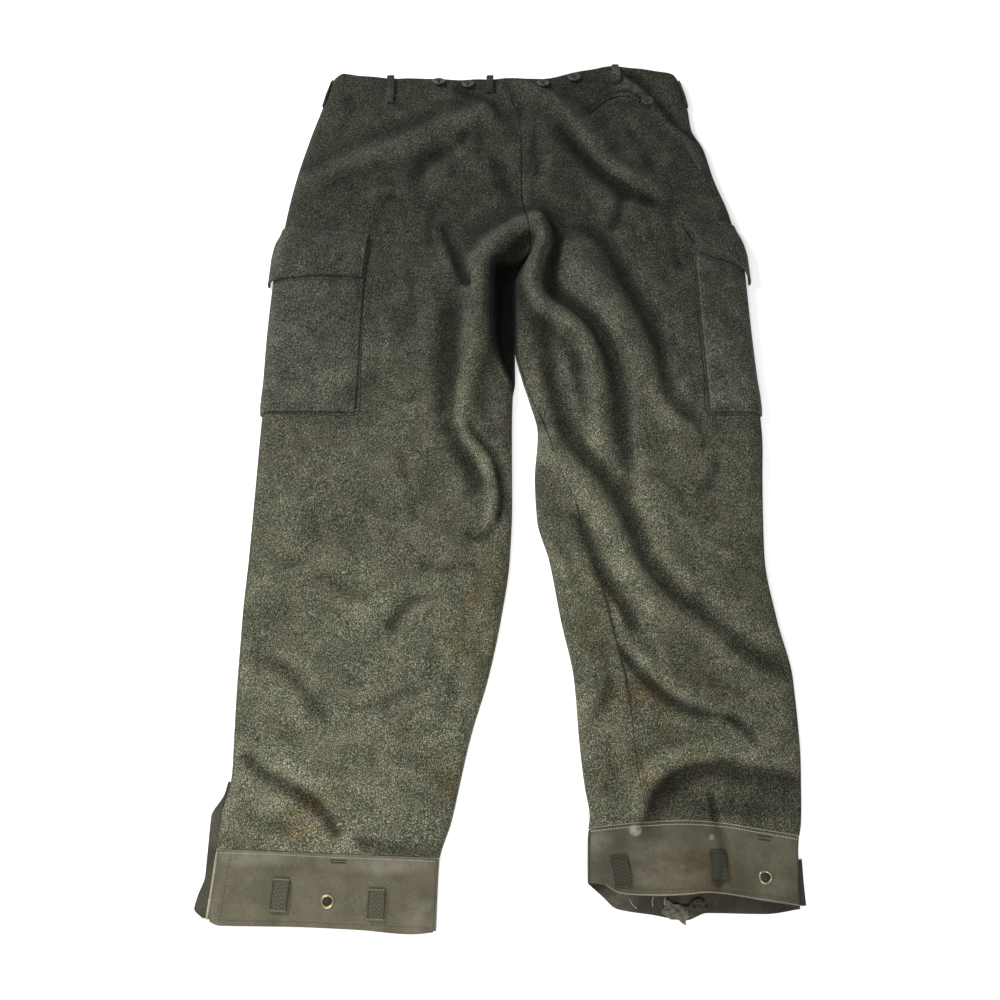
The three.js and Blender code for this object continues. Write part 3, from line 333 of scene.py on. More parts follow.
def curve(points, spacing):
    """Evenly spaced points on a centripetal Catmull-Rom curve through the given ones."""
    p = np.array(points, float)
    if len(p) > 2:
        p = np.vstack([2 * p[0] - p[1], p, 2 * p[-1] - p[-2]])
        knots = np.concatenate([[0], np.cumsum(np.linalg.norm(np.diff(p, axis=0), axis=1) ** 0.5)])
        pieces = []
        for i in range(len(p) - 3):
            k0, k1, k2, k3 = knots[i : i + 4]
            t = np.linspace(k1, k2, 24)[:, None]
            a1 = ((k1 - t) * p[i] + (t - k0) * p[i + 1]) / (k1 - k0)
            a2 = ((k2 - t) * p[i + 1] + (t - k1) * p[i + 2]) / (k2 - k1)
            a3 = ((k3 - t) * p[i + 2] + (t - k2) * p[i + 3]) / (k3 - k2)
            b1 = ((k2 - t) * a1 + (t - k0) * a2) / (k2 - k0)
            b2 = ((k3 - t) * a2 + (t - k1) * a3) / (k3 - k1)
            pieces.append(((k2 - t) * b1 + (t - k1) * b2) / (k2 - k1))
        p = np.vstack(pieces)
    run = np.concatenate([[0], np.cumsum(np.linalg.norm(np.diff(p, axis=0), axis=1))])
    count = max(2, int(round(run[-1] / spacing)) + 1)
    at = np.linspace(0, run[-1], count)
    return np.stack([np.interp(at, run, p[:, k]) for k in range(p.shape[1])], axis=1)


# ---------- Relief of the back layer ----------
class Relief:
    """Height map on a 1 mm grid over the whole garment, read back by bilinear interpolation."""

    def __init__(self, left, right, low, high):
        self.x = np.arange(left, right + 1.0)
        self.y = np.arange(low, high + 1.0)
        self.z = np.zeros((len(self.y), len(self.x)))

    def stroke(self, left, right, start, end, path):
        """Adds round bell marks exp(-d^2 / w^2) so close along the path that they join in one even fold."""
        points = curve(path, MARK_STEP * min(left, right))
        step = np.linalg.norm(np.diff(points, axis=0), axis=1).mean()
        points = (points[1:] + points[:-1]) / 2
        travel = unit(np.gradient(points, axis=0)) if len(points) > 1 else np.array([[0, 1.0]])
        heights = np.linspace(start, end, len(points))
        reach = 3 * max(left, right)
        for at, way, height in zip(points, travel, heights):
            i0, i1 = np.searchsorted(self.y, [at[1] - reach, at[1] + reach])
            j0, j1 = np.searchsorted(self.x, [at[0] - reach, at[0] + reach])
            dx = self.x[None, j0:j1] - at[0]
            dy = self.y[i0:i1, None] - at[1]
            share = smooth((way[0] * dy - way[1] * dx) / SIDE_BLEND + 0.5)
            width = mix(right, left, share)
            bell = np.exp(-(dx**2 + dy**2) / width**2)
            self.z[i0:i1, j0:j1] += height * bell * step / (width * math.sqrt(math.pi))

    def waves(self, count, shortest, longest, height, seed):
        """Adds plane waves of random direction and phase, each as high as it is long, to a total height."""
        draw = np.random.default_rng(seed)
        lengths = shortest * (longest / shortest) ** draw.random(count)
        turns = draw.random(count) * 2 * math.pi
        phases = draw.random(count) * 2 * math.pi
        part = height * lengths / np.sqrt((lengths**2).sum() / 2)
        for length, turn, phase, size in zip(lengths, turns, phases, part):
            k = 2 * math.pi / length
            along_x = k * math.cos(turn) * self.x + phase
            along_y = k * math.sin(turn) * self.y
            self.z += size * np.sin(along_x[None, :] + along_y[:, None])

    def crests(self, reach):
        """Second map: each place's height over the mean of its surroundings, by running means both ways."""
        mean = self.z
        for axis in (0, 1):
            for _ in range(2):
                run = np.cumsum(np.pad(mean, [(reach + 1, reach)] * 2, "edge"), axis=axis)
                span = [slice(reach + 1, -reach)] * 2
                far, near = list(span), list(span)
                far[axis] = slice(2 * reach + 1, None)
                near[axis] = slice(None, -2 * reach - 1)
                mean = (run[tuple(far)] - run[tuple(near)]) / (2 * reach + 1)
        made = Relief(self.x[0], self.x[-1], self.y[0], self.y[-1])
        made.z = self.z - mean
        return made

    def __call__(self, x, y):
        j = np.clip(x - self.x[0], 0, len(self.x) - 1.001)
        i = np.clip(y - self.y[0], 0, len(self.y) - 1.001)
        i0, j0 = i.astype(int), j.astype(int)
        di, dj = i - i0, j - j0
        low = mix(self.z[i0, j0], self.z[i0, j0 + 1], dj)
        high = mix(self.z[i0 + 1, j0], self.z[i0 + 1, j0 + 1], dj)
        return mix(low, high, di)


relief = Relief(-345, 345, -20, 1110)
for fold in FOLDS + CREASES:
    relief.stroke(*fold)
relief.waves(**WAVES)
crest = relief.crests(CREST_REACH)


def hollow_share(x, y, slope=HOLLOW_SLOPE):
    """1 inside the hollow between the thighs, 0 outside it."""
    between = smooth((x - sample(HOLLOW, "up", "left", y)) / slope + 0.5)
    between = between * smooth((sample(HOLLOW, "up", "right", y) - x) / slope + 0.5)
    below_lip = smooth((sample(SEAT_LIP, "x", "y", x) - y) / slope + 0.5)
    return between * below_lip * smooth((y - HOLLOW["up"][0]) / slope)


def fold_tone(x, y):
    """-1 in a fold's hollow to 1 on its crest, and down to -3 in the hollow between the thighs. The finishes
    paint it as shade in the hollows and as light on the crests.
    """
    across = smooth((x - MEETING["left"]) / MEETING["left_slope"])
    across = across * smooth((MEETING["right"] - x) / MEETING["right_slope"])
    meeting = across * smooth((y - MEETING["foot"]) / MEETING["foot_slope"])
    meeting = meeting * smooth((MEETING["head"] - y) / MEETING["head_slope"])
    cavity = np.maximum(hollow_share(x, y, HOLLOW_TONE_SLOPE), meeting)
    return np.tanh(crest(x, y) / CREST_HEIGHT) - HOLLOW_TONE * cavity


def back_height(leg, x, y):
    """Loft and relief with a soft floor, dropped into the hollow between the thighs."""
    raised = sample(leg["outline"], "up", "loft", y) + relief(x, y)
    height = LEAST_HEIGHT + np.log1p(np.exp(np.minimum(raised - LEAST_HEIGHT, 50)))
    return mix(height, POCKET_HOLLOW, hollow_share(x, y))


# ---------- The flattened tube of one leg and its half of the seat ----------
# A place on the ring round the tube is a number: 0 outer edge, 0 to 1 outer roll, 1 to 2 back layer,
# 2 to 3 inner roll, 3 inner edge, 3 to 4 inner bend, 4 to 5 front layer, 5 to 6 outer bend.
LEGS = {
    side: {
        "side": side,
        "outline": OUTLINE[side],
        "seams": RIGHT_SEAMS if side == "right" else PLAIN_SEAMS,
        "cuff_line": CUFF_LINE[side],
        "hem": HEM[side],
        "inward": 1 if side == "left" else -1,
    }
    for side in ("left", "right")
}


def leg_share(up):
    """1 below the crotch, where the tube is closed along the inseam, 0 above it."""
    return smooth((CROTCH - up) / CROTCH_FORK + 0.5)


def edges(leg, up):
    outer = sample(leg["outline"], "up", "outer", up)
    leg_inner = sample(leg["outline"], "up", "inner", up)
    inner = mix(sample(SEAT_SEAM, "up", "x", up), leg_inner, leg_share(up))
    return outer, inner, np.abs(inner - outer)


def place_from_outer(width, distance):
    """Ring number of a place on the back layer at a distance from the outer edge."""
    near = np.arccos(1 - np.clip(distance, 0, ROLL) / ROLL) / (math.pi / 2)
    far = 3 - np.arccos(1 - np.clip(width - distance, 0, ROLL) / ROLL) / (math.pi / 2)
    middle = 1 + (distance - ROLL) / (width - 2 * ROLL)
    return np.where(distance < ROLL, near, np.where(distance > width - ROLL, far, middle))


def panel_line(leg):
    """y of a place on a panel: its height, bent near the waist edge and near the cuff seam."""

    def line(x, up):
        to_waist = sample(WAIST_LINE, "x", "y", x) - WAIST
        to_cuff = sample(leg["cuff_line"], "x", "y", x) - CUFF_TOP
        swell = np.sin(x / WAIST_WAVES["swell"] + WAIST_WAVES["phase"])
        wave = WAIST_WAVES["high"] * np.sin(x / WAIST_WAVES["long"]) * swell
        wave = wave + WAIST_WAVES["low"] * np.sin(x / WAIST_WAVES["short"])
        bend = (to_waist + wave) * smooth((up - WAIST + WARP) / WARP)
        return up + bend + to_cuff * smooth((CUFF_TOP + WARP - up) / WARP)

    return line


def cuff_line(leg, face, gap):
    """y of a place on a cuff: between its lower edge and the cuff seam."""

    def line(x, up):
        share = (up - HEM_UP) / (CUFF_TOP - HEM_UP)
        return mix(sample(leg["hem"], "x", face, x), sample(leg["cuff_line"], "x", "y", x) - gap, share)

    return line


def ring_point(leg, up, place, line):
    """Middle of the cloth at ring places: circular rolls at both edges, back_height between, flat below."""
    up, place = np.broadcast_arrays(np.asarray(up, float), np.asarray(place, float))
    outer, inner, width = edges(leg, up)
    ring = np.mod(place, 6)
    quarter = math.pi / 2

    def turn(share):
        return np.clip(share, 0, 1) * quarter

    over = np.select(
        [ring < 1, ring > 2],
        [ROLL * (1 - np.cos(turn(ring))), width - ROLL * (1 - np.cos(turn(3 - ring)))],
        ROLL + (ring - 1) * (width - 2 * ROLL),
    )
    bend = np.where(ring < 4, 4 - ring, ring - 5)
    reach = EDGE_RADIUS * (1 - np.sin(turn(bend)))
    flat = EDGE_RADIUS + (5 - ring) * (width - 2 * EDGE_RADIUS)
    under = np.select([ring < 4, ring > 5], [width - reach, reach], flat)
    on_back = ring <= 3
    distance = np.where(on_back, over, under)
    x = outer + leg["inward"] * distance
    y = line(x, up)

    def rise(share):
        return np.sqrt(np.maximum(1 - (1 - np.clip(share, 0, 1)) ** 2, 0))

    lifted = rise(over / ROLL) * mix(1, rise((width - over) / ROLL), leg_share(up))
    z_back = mix(EDGE_Z, back_height(leg, x, y), lifted)
    z_front = UNDER_Z + np.where((ring < 4) | (ring > 5), EDGE_RADIUS * (1 - np.cos(turn(bend))), 0)
    return np.stack([x, y, np.where(on_back, z_back, z_front)], axis=-1)


def half_gap(up):
    return SEAM_GAP / 2 + CROTCH_EASE * np.exp(-(((up - CROTCH) / EASE_LENGTH) ** 2))


def seams_at(leg, up):
    width = edges(leg, up)[2]
    inseam = mix(half_gap(up), sample(leg["seams"], "up", "inseam", up), leg_share(up))
    side = place_from_outer(width, sample(leg["seams"], "up", "side", up))
    return side, place_from_outer(width, width - inseam)


def beside_seam(leg, up, place, direction):
    """Moves a ring place off a seam by half the seam gap."""
    here = ring_point(leg, up, place, lambda x, height: height)
    near = ring_point(leg, up, place + direction * 0.01, lambda x, height: height)
    size = np.linalg.norm(here - near, axis=-1)
    return place + direction * 0.01 * np.minimum(half_gap(up), 0.6) / np.maximum(size, 1e-6)


EVEN_END = 2.9
EVEN_FROM = 2.6


def back_grid(leg, ups, shares, line):
    """Back panel: from the side seam over the back layer to the inseam or the seat seam.

    Columns run evenly to ring place 2.9. What the seam's own place differs from it is added as the fourth
    power of the column down to place 2.6, and evenly beyond, so that columns stay upright past the crotch.
    """
    up = np.asarray(ups, float)[:, None]
    side, inseam = seams_at(leg, up)
    start = beside_seam(leg, up, side, 1)
    end = np.where(up > CROTCH, inseam, beside_seam(leg, up, inseam, -1))
    share = np.asarray(shares)[None, :]
    near = (np.maximum(end, EVEN_FROM) - EVEN_END) * share**4
    far = np.minimum(end - EVEN_FROM, 0) * share
    return ring_point(leg, up, np.minimum(mix(start, EVEN_END, share) + near + far, 2.999), line)


FRONT_FLAT = 9.0


def front_grid(leg, ups, columns, line):
    """Front panel. Columns 0 to 1 lie on the inner wrap, 1 to 2 on the bend, 2 to 3 under, 3 to 5 outside."""
    up = np.asarray(ups, float)[:, None]
    column = np.asarray(columns, float)[None, :]
    side, inseam = seams_at(leg, up)
    inner = beside_seam(leg, up, np.minimum(inseam, 2.98), 1)
    outer = 6 + beside_seam(leg, up, side, -1)
    place = np.where(column > 1, column + 2, mix(inner, 3, column))
    place = np.where(column > 4, mix(6, outer, column - 4), place)
    points = ring_point(leg, up, place, line)
    x = edges(leg, up)[1] - leg["inward"] * (SEAM_GAP / 2 + FRONT_FLAT * np.minimum(column, 2) / 2)
    up_wide = np.broadcast_to(up, x.shape)
    flat = np.stack([x, line(x, up_wide), np.full(x.shape, UNDER_Z)], axis=-1)
    share = ((1 - leg_share(up)) * (column <= 2))[..., None]
    return mix(points, flat, share)


# ---------- Meshes ----------
def to_row(points):
    """Garment millimetres to metres in the part's frame."""
    return (points - np.array([CENTRE_X, CENTRE_Y, 0.0])) * MM


def normals_of(grid):
    """Unit normals of a grid of points: the cross product of its two directions."""
    return unit(np.cross(np.gradient(grid, axis=1), np.gradient(grid, axis=0)))


def border(rows, columns):
    """Indices round a grid's edge, and for each the neighbour that lies one step inside."""
    top = [(0, j) for j in range(columns)]
    right = [(i, columns - 1) for i in range(1, rows)]
    bottom = [(rows - 1, j) for j in range(columns - 2, -1, -1)]
    left = [(i, 0) for i in range(rows - 2, 0, -1)]
    ring = np.array(top + right + bottom + left)
    inside = np.stack([np.clip(ring[:, 0], 1, rows - 2), np.clip(ring[:, 1], 1, columns - 2)], axis=1)
    return ring[:, 0] * columns + ring[:, 1], inside[:, 0] * columns + inside[:, 1]


surfaces = {}
RIM_STEPS = 3
RIM_SQUARE = 0.55


def wall(name, grid, thickness):
    """Closed cloth wall: the grid moved out by half the thickness both ways, joined by a half-round rim."""
    rows, columns = grid.shape[:2]
    normal = normals_of(grid)
    half = np.broadcast_to(np.asarray(thickness, float) / 2, (rows, columns))[..., None]
    mid, n, h = grid.reshape(-1, 3).copy(), normal.reshape(-1, 3), half.reshape(-1, 1)
    ring, inside = border(rows, columns)
    out = unit(mid[ring] - mid[inside])
    mid[ring] -= out * h[ring]
    layers = [mid + n * h, mid - n * h]
    for k in range(1, RIM_STEPS + 1):
        angle = k * math.pi / (RIM_STEPS + 1)
        square = [math.copysign(abs(v) ** RIM_SQUARE, v) for v in (math.sin(angle), math.cos(angle))]
        layers.append(mid[ring] + h[ring] * (square[0] * out + square[1] * n[ring]))
    vertices = np.vstack(layers)
    size = rows * columns
    i, j = np.meshgrid(np.arange(rows - 1), np.arange(columns - 1), indexing="ij")
    a = (i * columns + j).ravel()
    quad = np.stack([a, a + 1, a + columns + 1, a + columns], axis=1)
    between = [2 * size + k * len(ring) + np.arange(len(ring)) for k in range(RIM_STEPS)]
    loops = [ring] + between + [ring + size]
    pairs = zip(loops, loops[1:])
    rims = [np.stack([lo, np.roll(lo, -1), np.roll(hi, -1), hi], axis=1)[:, ::-1] for lo, hi in pairs]
    faces = np.vstack([quad, quad[:, ::-1] + size, *rims])
    along = np.cumsum(np.linalg.norm(np.diff(grid, axis=1, prepend=grid[:, :1]), axis=2), axis=1)
    upward = np.cumsum(np.linalg.norm(np.diff(grid, axis=0, prepend=grid[:1]), axis=2), axis=0)
    flat = np.stack([along - along[:, -1:] / 2, upward], axis=-1).reshape(-1, 2) * MM
    uv = np.vstack([flat, flat] + [flat[ring]] * RIM_STEPS)
    surfaces[name] = {"mid": grid, "normal": normal, "half": half}
    return vertices, faces, uv


def signed_volume(vertices, faces):
    a, b, c, d = (vertices[faces[:, k]] for k in range(4))
    return (np.einsum("ij,ij->i", a, np.cross(b, c)) + np.einsum("ij,ij->i", a, np.cross(c, d))).sum()


def add_piece(name, built, finish, replaces=()):
    """Mesh object from (vertices in garment millimetres, quads, uv), faces out, riding on the one body."""
    vertices, faces, uv = built
    if signed_volume(vertices, faces) < 0:
        faces = faces[:, ::-1]
    mesh = bpy.data.meshes.new(name)
    mesh.from_pydata(to_row(vertices), [], faces)
    mesh.polygons.foreach_set("use_smooth", np.ones(len(faces), bool))
    layer = mesh.uv_layers.new(name="UVMap")
    layer.data.foreach_set("uv", uv[faces.ravel()].astype(np.float32).ravel())
    # The fold attribute carries painted shade for fold hollows and the hollow between the thighs, and painted
    # light for crests.
    tone = mesh.attributes.new("fold", "FLOAT", "POINT")
    tone.data.foreach_set("value", fold_tone(vertices[:, 0], vertices[:, 1]).astype(np.float32))
    mesh.materials.append(finish)
    mesh.validate()
    mesh.update()
    piece = bpy.data.objects.new(name, mesh)
    bpy.context.scene.collection.objects.link(piece)
    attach(piece, "root")
    if replaces:
        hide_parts(*replaces)
    return piece


def joined(parts):
    """Several (vertices, faces, uv) as one."""
    start = np.cumsum([0] + [len(part[0]) for part in parts[:-1]])
    faces = [part[1] + first for part, first in zip(parts, start)]
    return np.vstack([p[0] for p in parts]), np.vstack(faces), np.vstack([p[2] for p in parts])


def outside(name):
    """Outer points and normals of a wall, with normals that point up where it lies on the back."""
    surface = surfaces[name]
    sign = np.sign(surface["normal"][..., 2].mean())
    normal = surface["normal"] * sign
    return surface["mid"] + normal * surface["half"], normal


def near_plane(part, points, normal):
    """Height and normal at places: mean of the tangent planes around them, weighted by (d^2 + 0.4)^-3."""
    low, high = part.min(axis=0) - 8, part.max(axis=0) + 8
    inside = np.flatnonzero(((points[:, :2] > low) & (points[:, :2] < high)).all(axis=1))
    if len(inside) == 0:
        inside = np.arange(len(points))
    p, n = points[inside], normal[inside]
    step = part[:, None] - p[None, :, :2]
    weight = ((step**2).sum(axis=-1) + 0.4) ** -3
    weight /= weight.sum(axis=1, keepdims=True)
    plane = p[None, :, 2] - (n[None, :, :2] * step).sum(axis=-1) / n[None, :, 2]
    return np.column_stack([(weight * plane).sum(axis=1), unit(weight @ n)])


def drape(names, xy, lift):
    """Points given by x and y on the outer faces of walls, moved out by a lift, with the normals there."""
    found = [outside(name) for name in names]
    points = np.vstack([p.reshape(-1, 3) for p, _ in found])
    normal = np.vstack([n.reshape(-1, 3) for _, n in found])
    keep = normal[:, 2] > 0.12
    points, normal = points[keep], normal[keep]
    flat = np.asarray(xy, float).reshape(-1, 2)
    parts = np.array_split(flat, max(1, len(flat) // 48))
    met = np.vstack([near_plane(part, points, normal) for part in parts])
    seat = np.column_stack([flat, met[:, 0]]) + met[:, 1:] * lift
    shape = np.asarray(xy).shape[:-1] + (3,)
    return seat.reshape(shape), met[:, 1:].reshape(shape)


# ---------- Thread ----------
THREAD_SIDES = 6
THREAD_RINGS = np.array(
    [(-0.5, 0.02), (-0.44, 0.6), (-0.28, 0.95), (0, 1.0), (0.28, 0.95), (0.44, 0.6), (0.5, 0.02)]
)


def stitch_run(points, normal, length, pitch, radius, sink=0.35):
    """Row of stitches: a spindle of the given length and radius at each pitch along the points, arched out."""
    run = np.concatenate([[0], np.cumsum(np.linalg.norm(np.diff(points, axis=0), axis=1))])
    count = max(1, int(run[-1] / pitch))
    centres = (np.arange(count) + 0.5) * run[-1] / count
    at = np.stack([np.interp(centres, run, points[:, k]) for k in range(3)], axis=1)
    ahead = np.stack([np.interp(centres + 0.6, run, points[:, k]) for k in range(3)], axis=1)
    behind = np.stack([np.interp(centres - 0.6, run, points[:, k]) for k in range(3)], axis=1)
    n = unit(np.stack([np.interp(centres, run, normal[:, k]) for k in range(3)], axis=1))
    along = unit(ahead - behind)
    across = unit(np.cross(n, along))
    turn = np.arange(THREAD_SIDES) * 2 * math.pi / THREAD_SIDES
    t = THREAD_RINGS[:, 0][:, None] * length + 0 * turn[None, :]
    y = THREAD_RINGS[:, 1][:, None] * radius * np.cos(turn)[None, :]
    dip = radius * 4 * sink * THREAD_RINGS[:, :1] ** 2
    z = THREAD_RINGS[:, 1][:, None] * radius * np.sin(turn)[None, :] - dip
    local = np.stack([t, y, z], axis=-1).reshape(1, -1, 3)
    vertices = at[:, None] + local[..., :1] * along[:, None] + local[..., 1:2] * across[:, None]
    vertices = vertices + local[..., 2:] * n[:, None]
    rings = len(THREAD_RINGS)
    i, j = np.meshgrid(np.arange(rings - 1), np.arange(THREAD_SIDES), indexing="ij")
    a = (i * THREAD_SIDES + j).ravel()
    b = (i * THREAD_SIDES + (j + 1) % THREAD_SIDES).ravel()
    side = np.stack([a, b, b + THREAD_SIDES, a + THREAD_SIDES], axis=1)
    last = (rings - 1) * THREAD_SIDES
    foot = np.array([(0, 3, 2, 1), (0, 5, 4, 3)])
    head = np.array([(0, 1, 2, 3), (0, 3, 4, 5)]) + last
    each = np.vstack([side, foot, head])
    faces = (each[None] + np.arange(count)[:, None, None] * rings * THREAD_SIDES).reshape(-1, 4)
    vertices = vertices.reshape(-1, 3)
    return vertices, faces, vertices[:, :2] * MM


def sewn(names, path, length=2.6, pitch=3.3, radius=0.28, lift=0.05):
    """Row of stitches along a path given by x and y on walls."""
    points, normal = drape(names, curve(path, 2.0), lift)
    return stitch_run(points, normal, length, pitch, radius)


def tube(points, radius, sides=8):
    """Closed round tube: circles of radius(s) across a path, each end drawn to a point."""
    points = np.asarray(points, float)
    along = unit(np.gradient(points, axis=0))
    side = unit(np.cross(along, np.array([0.03, 0.02, 1.0])))
    high = np.cross(side, along)
    share = np.linspace(0, 1, len(points))
    size = radius * np.sqrt(np.clip(1 - np.abs(2 * share - 1) ** 12, 0.02, 1))
    turn = np.arange(sides) * 2 * math.pi / sides
    ring = np.cos(turn)[None, :, None] * side[:, None] + np.sin(turn)[None, :, None] * high[:, None]
    vertices = (points[:, None] + size[:, None, None] * ring).reshape(-1, 3)
    i, j = np.meshgrid(np.arange(len(points) - 1), np.arange(sides), indexing="ij")
    a, b = (i * sides + j).ravel(), (i * sides + (j + 1) % sides).ravel()
    faces = [np.stack([a, b, b + sides, a + sides], axis=1)]
    last = (len(points) - 1) * sides
    for k in range(1, sides - 2, 2):
        faces.append(np.array([(0, k + 2, k + 1, k), (last, last + k, last + k + 1, last + k + 2)]))
    return vertices, np.vstack(faces), vertices[:, :2] * MM


def lathe(profile, segments):
    """Closed surface of revolution about z from a profile of (r, z) that closes on itself or on the axis."""
    profile = np.array(profile, float)
    turn = np.arange(segments) * 2 * math.pi / segments
    x = profile[:, :1] * np.cos(turn)
    y = profile[:, :1] * np.sin(turn)
    vertices = np.stack([x, y, np.broadcast_to(profile[:, 1:], x.shape)], axis=-1).reshape(-1, 3)
    i, j = np.meshgrid(np.arange(len(profile) - 1), np.arange(segments), indexing="ij")
    a, b = (i * segments + j).ravel(), (i * segments + (j + 1) % segments).ravel()
    faces = np.stack([a, b, b + segments, a + segments], axis=1)
    return vertices, faces, vertices[:, :2] * MM


def seated(built, names, x, y, lift, spin=0.0, tilt=(0.0, 0.0)):
    """Places a turned piece on walls, its axis along their outward direction and a little tilt."""
    (at,), (n,) = drape(names, np.array([(x, y)]), lift)
    n = unit(n + np.array([tilt[0], tilt[1], 0.0]))
    side = unit(np.cross(n, np.array([-math.sin(spin), math.cos(spin), 0.1])))
    basis = np.stack([side, np.cross(n, side), n])
    return at + built[0] @ basis, built[1], built[2]


# ---------- Shader nodes ----------
class Value:
    """A socket in one material's nodes. + - * / and ** add Math nodes."""

    def __init__(self, ink, socket):
        self.ink, self.socket = ink, socket

    def _math(self, operation, first, second):
        return self.ink.node("ShaderNodeMath", {"operation": operation}, {0: first, 1: second})

    def __add__(self, other):
        return self._math("ADD", self, other)

    def __sub__(self, other):
        return self._math("SUBTRACT", self, other)

    def __rsub__(self, other):
        return self._math("SUBTRACT", other, self)

    def __mul__(self, other):
        return self._math("MULTIPLY", self, other)

    def __truediv__(self, other):
        return self._math("DIVIDE", self, other)

    def __rtruediv__(self, other):
        return self._math("DIVIDE", other, self)

    def __pow__(self, other):
        return self._math("POWER", self, other)

    __radd__, __rmul__ = __add__, __mul__


class Ink:
    """One material: its node tree, its Principled shader, and the nodes that feed it."""

    def __init__(self, name, **constants):
        self.material = bpy.data.materials.new(name)
        self.material.use_nodes = True
        self.tree = self.material.node_tree
        self.shader = self.tree.nodes["Principled BSDF"]
        for socket, value in constants.items():
            self.shader.inputs[socket.replace("_", " ")].default_value = value

    def node(self, kind, settings, inputs, output=0):
        made = self.tree.nodes.new(kind)
        for key, value in settings.items():
            setattr(made, key, value)
        for key, value in inputs.items():
            self.feed(made.inputs[key], value)
        return Value(self, made.outputs[output])

    def feed(self, socket, value):
        if isinstance(value, Value):
            self.tree.links.new(value.socket, socket)
        else:
            socket.default_value = value

    def place(self, which="Object"):
        return self.node("ShaderNodeTexCoord", {}, {}, which)

    # Reads the fold attribute: painted shade in hollows, painted light on crests.
    def fold(self):
        return self.node("ShaderNodeAttribute", {"attribute_name": "fold"}, {}, "Fac")

    def shaded(self, colour, *shades):
        """Colour times grey factors."""
        for shade in shades:
            level = self.node("ShaderNodeCombineColor", {}, {0: shade, 1: shade, 2: shade})
            colour = self.blend(1.0, colour, level, "MULTIPLY")
        return colour

    def turned(self, vector, turn=0.0, stretch=(1, 1, 1)):
        words = {"Vector": vector, "Rotation": (0, 0, turn), "Scale": stretch}
        return self.node("ShaderNodeMapping", {}, words)

    def noise(self, vector, scale, detail=2.0, roughness=0.5):
        words = {"Vector": vector, "Scale": scale, "Detail": detail, "Roughness": roughness}
        return self.node("ShaderNodeTexNoise", {}, words)

    def ramp(self, value, low, high, start=0.0, end=1.0):
        """start below low, end above high, smooth between them."""
        words = {"Value": value, 1: low, 2: high, 3: start, 4: end}
        return self.node("ShaderNodeMapRange", {"interpolation_type": "SMOOTHSTEP"}, words)

    def blend(self, share, a, b, kind="MIX"):
        return self.node("ShaderNodeMix", {"data_type": "RGBA", "blend_type": kind}, {0: share, 6: a, 7: b}, 2)

    def parts(self, vector):
        split = self.tree.nodes.new("ShaderNodeSeparateXYZ")
        self.feed(split.inputs[0], vector)
        return [Value(self, socket) for socket in split.outputs]

    def bump(self, height, distance, strength=1.0, under=None):
        words = {"Height": height, "Distance": distance, "Strength": strength}
        if under is not None:
            words["Normal"] = under
        return self.node("ShaderNodeBump", {}, words)

    def spot(self, x, y, at, size):
        """1 in the middle of an ellipse given in garment millimetres, 0 outside it."""
        dx = (x - (at[0] - CENTRE_X) * MM) / (size[0] * MM)
        dy = (y - (at[1] - CENTRE_Y) * MM) / (size[1] * MM)
        return self.ramp(dx * dx + dy * dy, 0.0, 1.0, 1.0, 0.0)


# ---------- Finishes ----------
WOOL_DARK = (0.01, 0.011, 0.007, 1)
WOOL_LIGHT = (0.45, 0.46, 0.35, 1)
STAIN = (0.92, 0.74, 0.5, 1)
# Painted shade: listed spots darkened where deep folds shade the cloth (middle, size, depth).
SHADED = [((232, 138), (110, 34), 0.5), ((176, 128), (40, 30), 0.3), ((-46, 690), (34, 90), 0.25)]
STAINS = [
    ((-22, 325), (60, 90)), ((99, 348), (40, 70)), ((150, 200), (90, 80)), ((-206, 114), (60, 40)),
    ((-60, 180), (70, 60)),
]


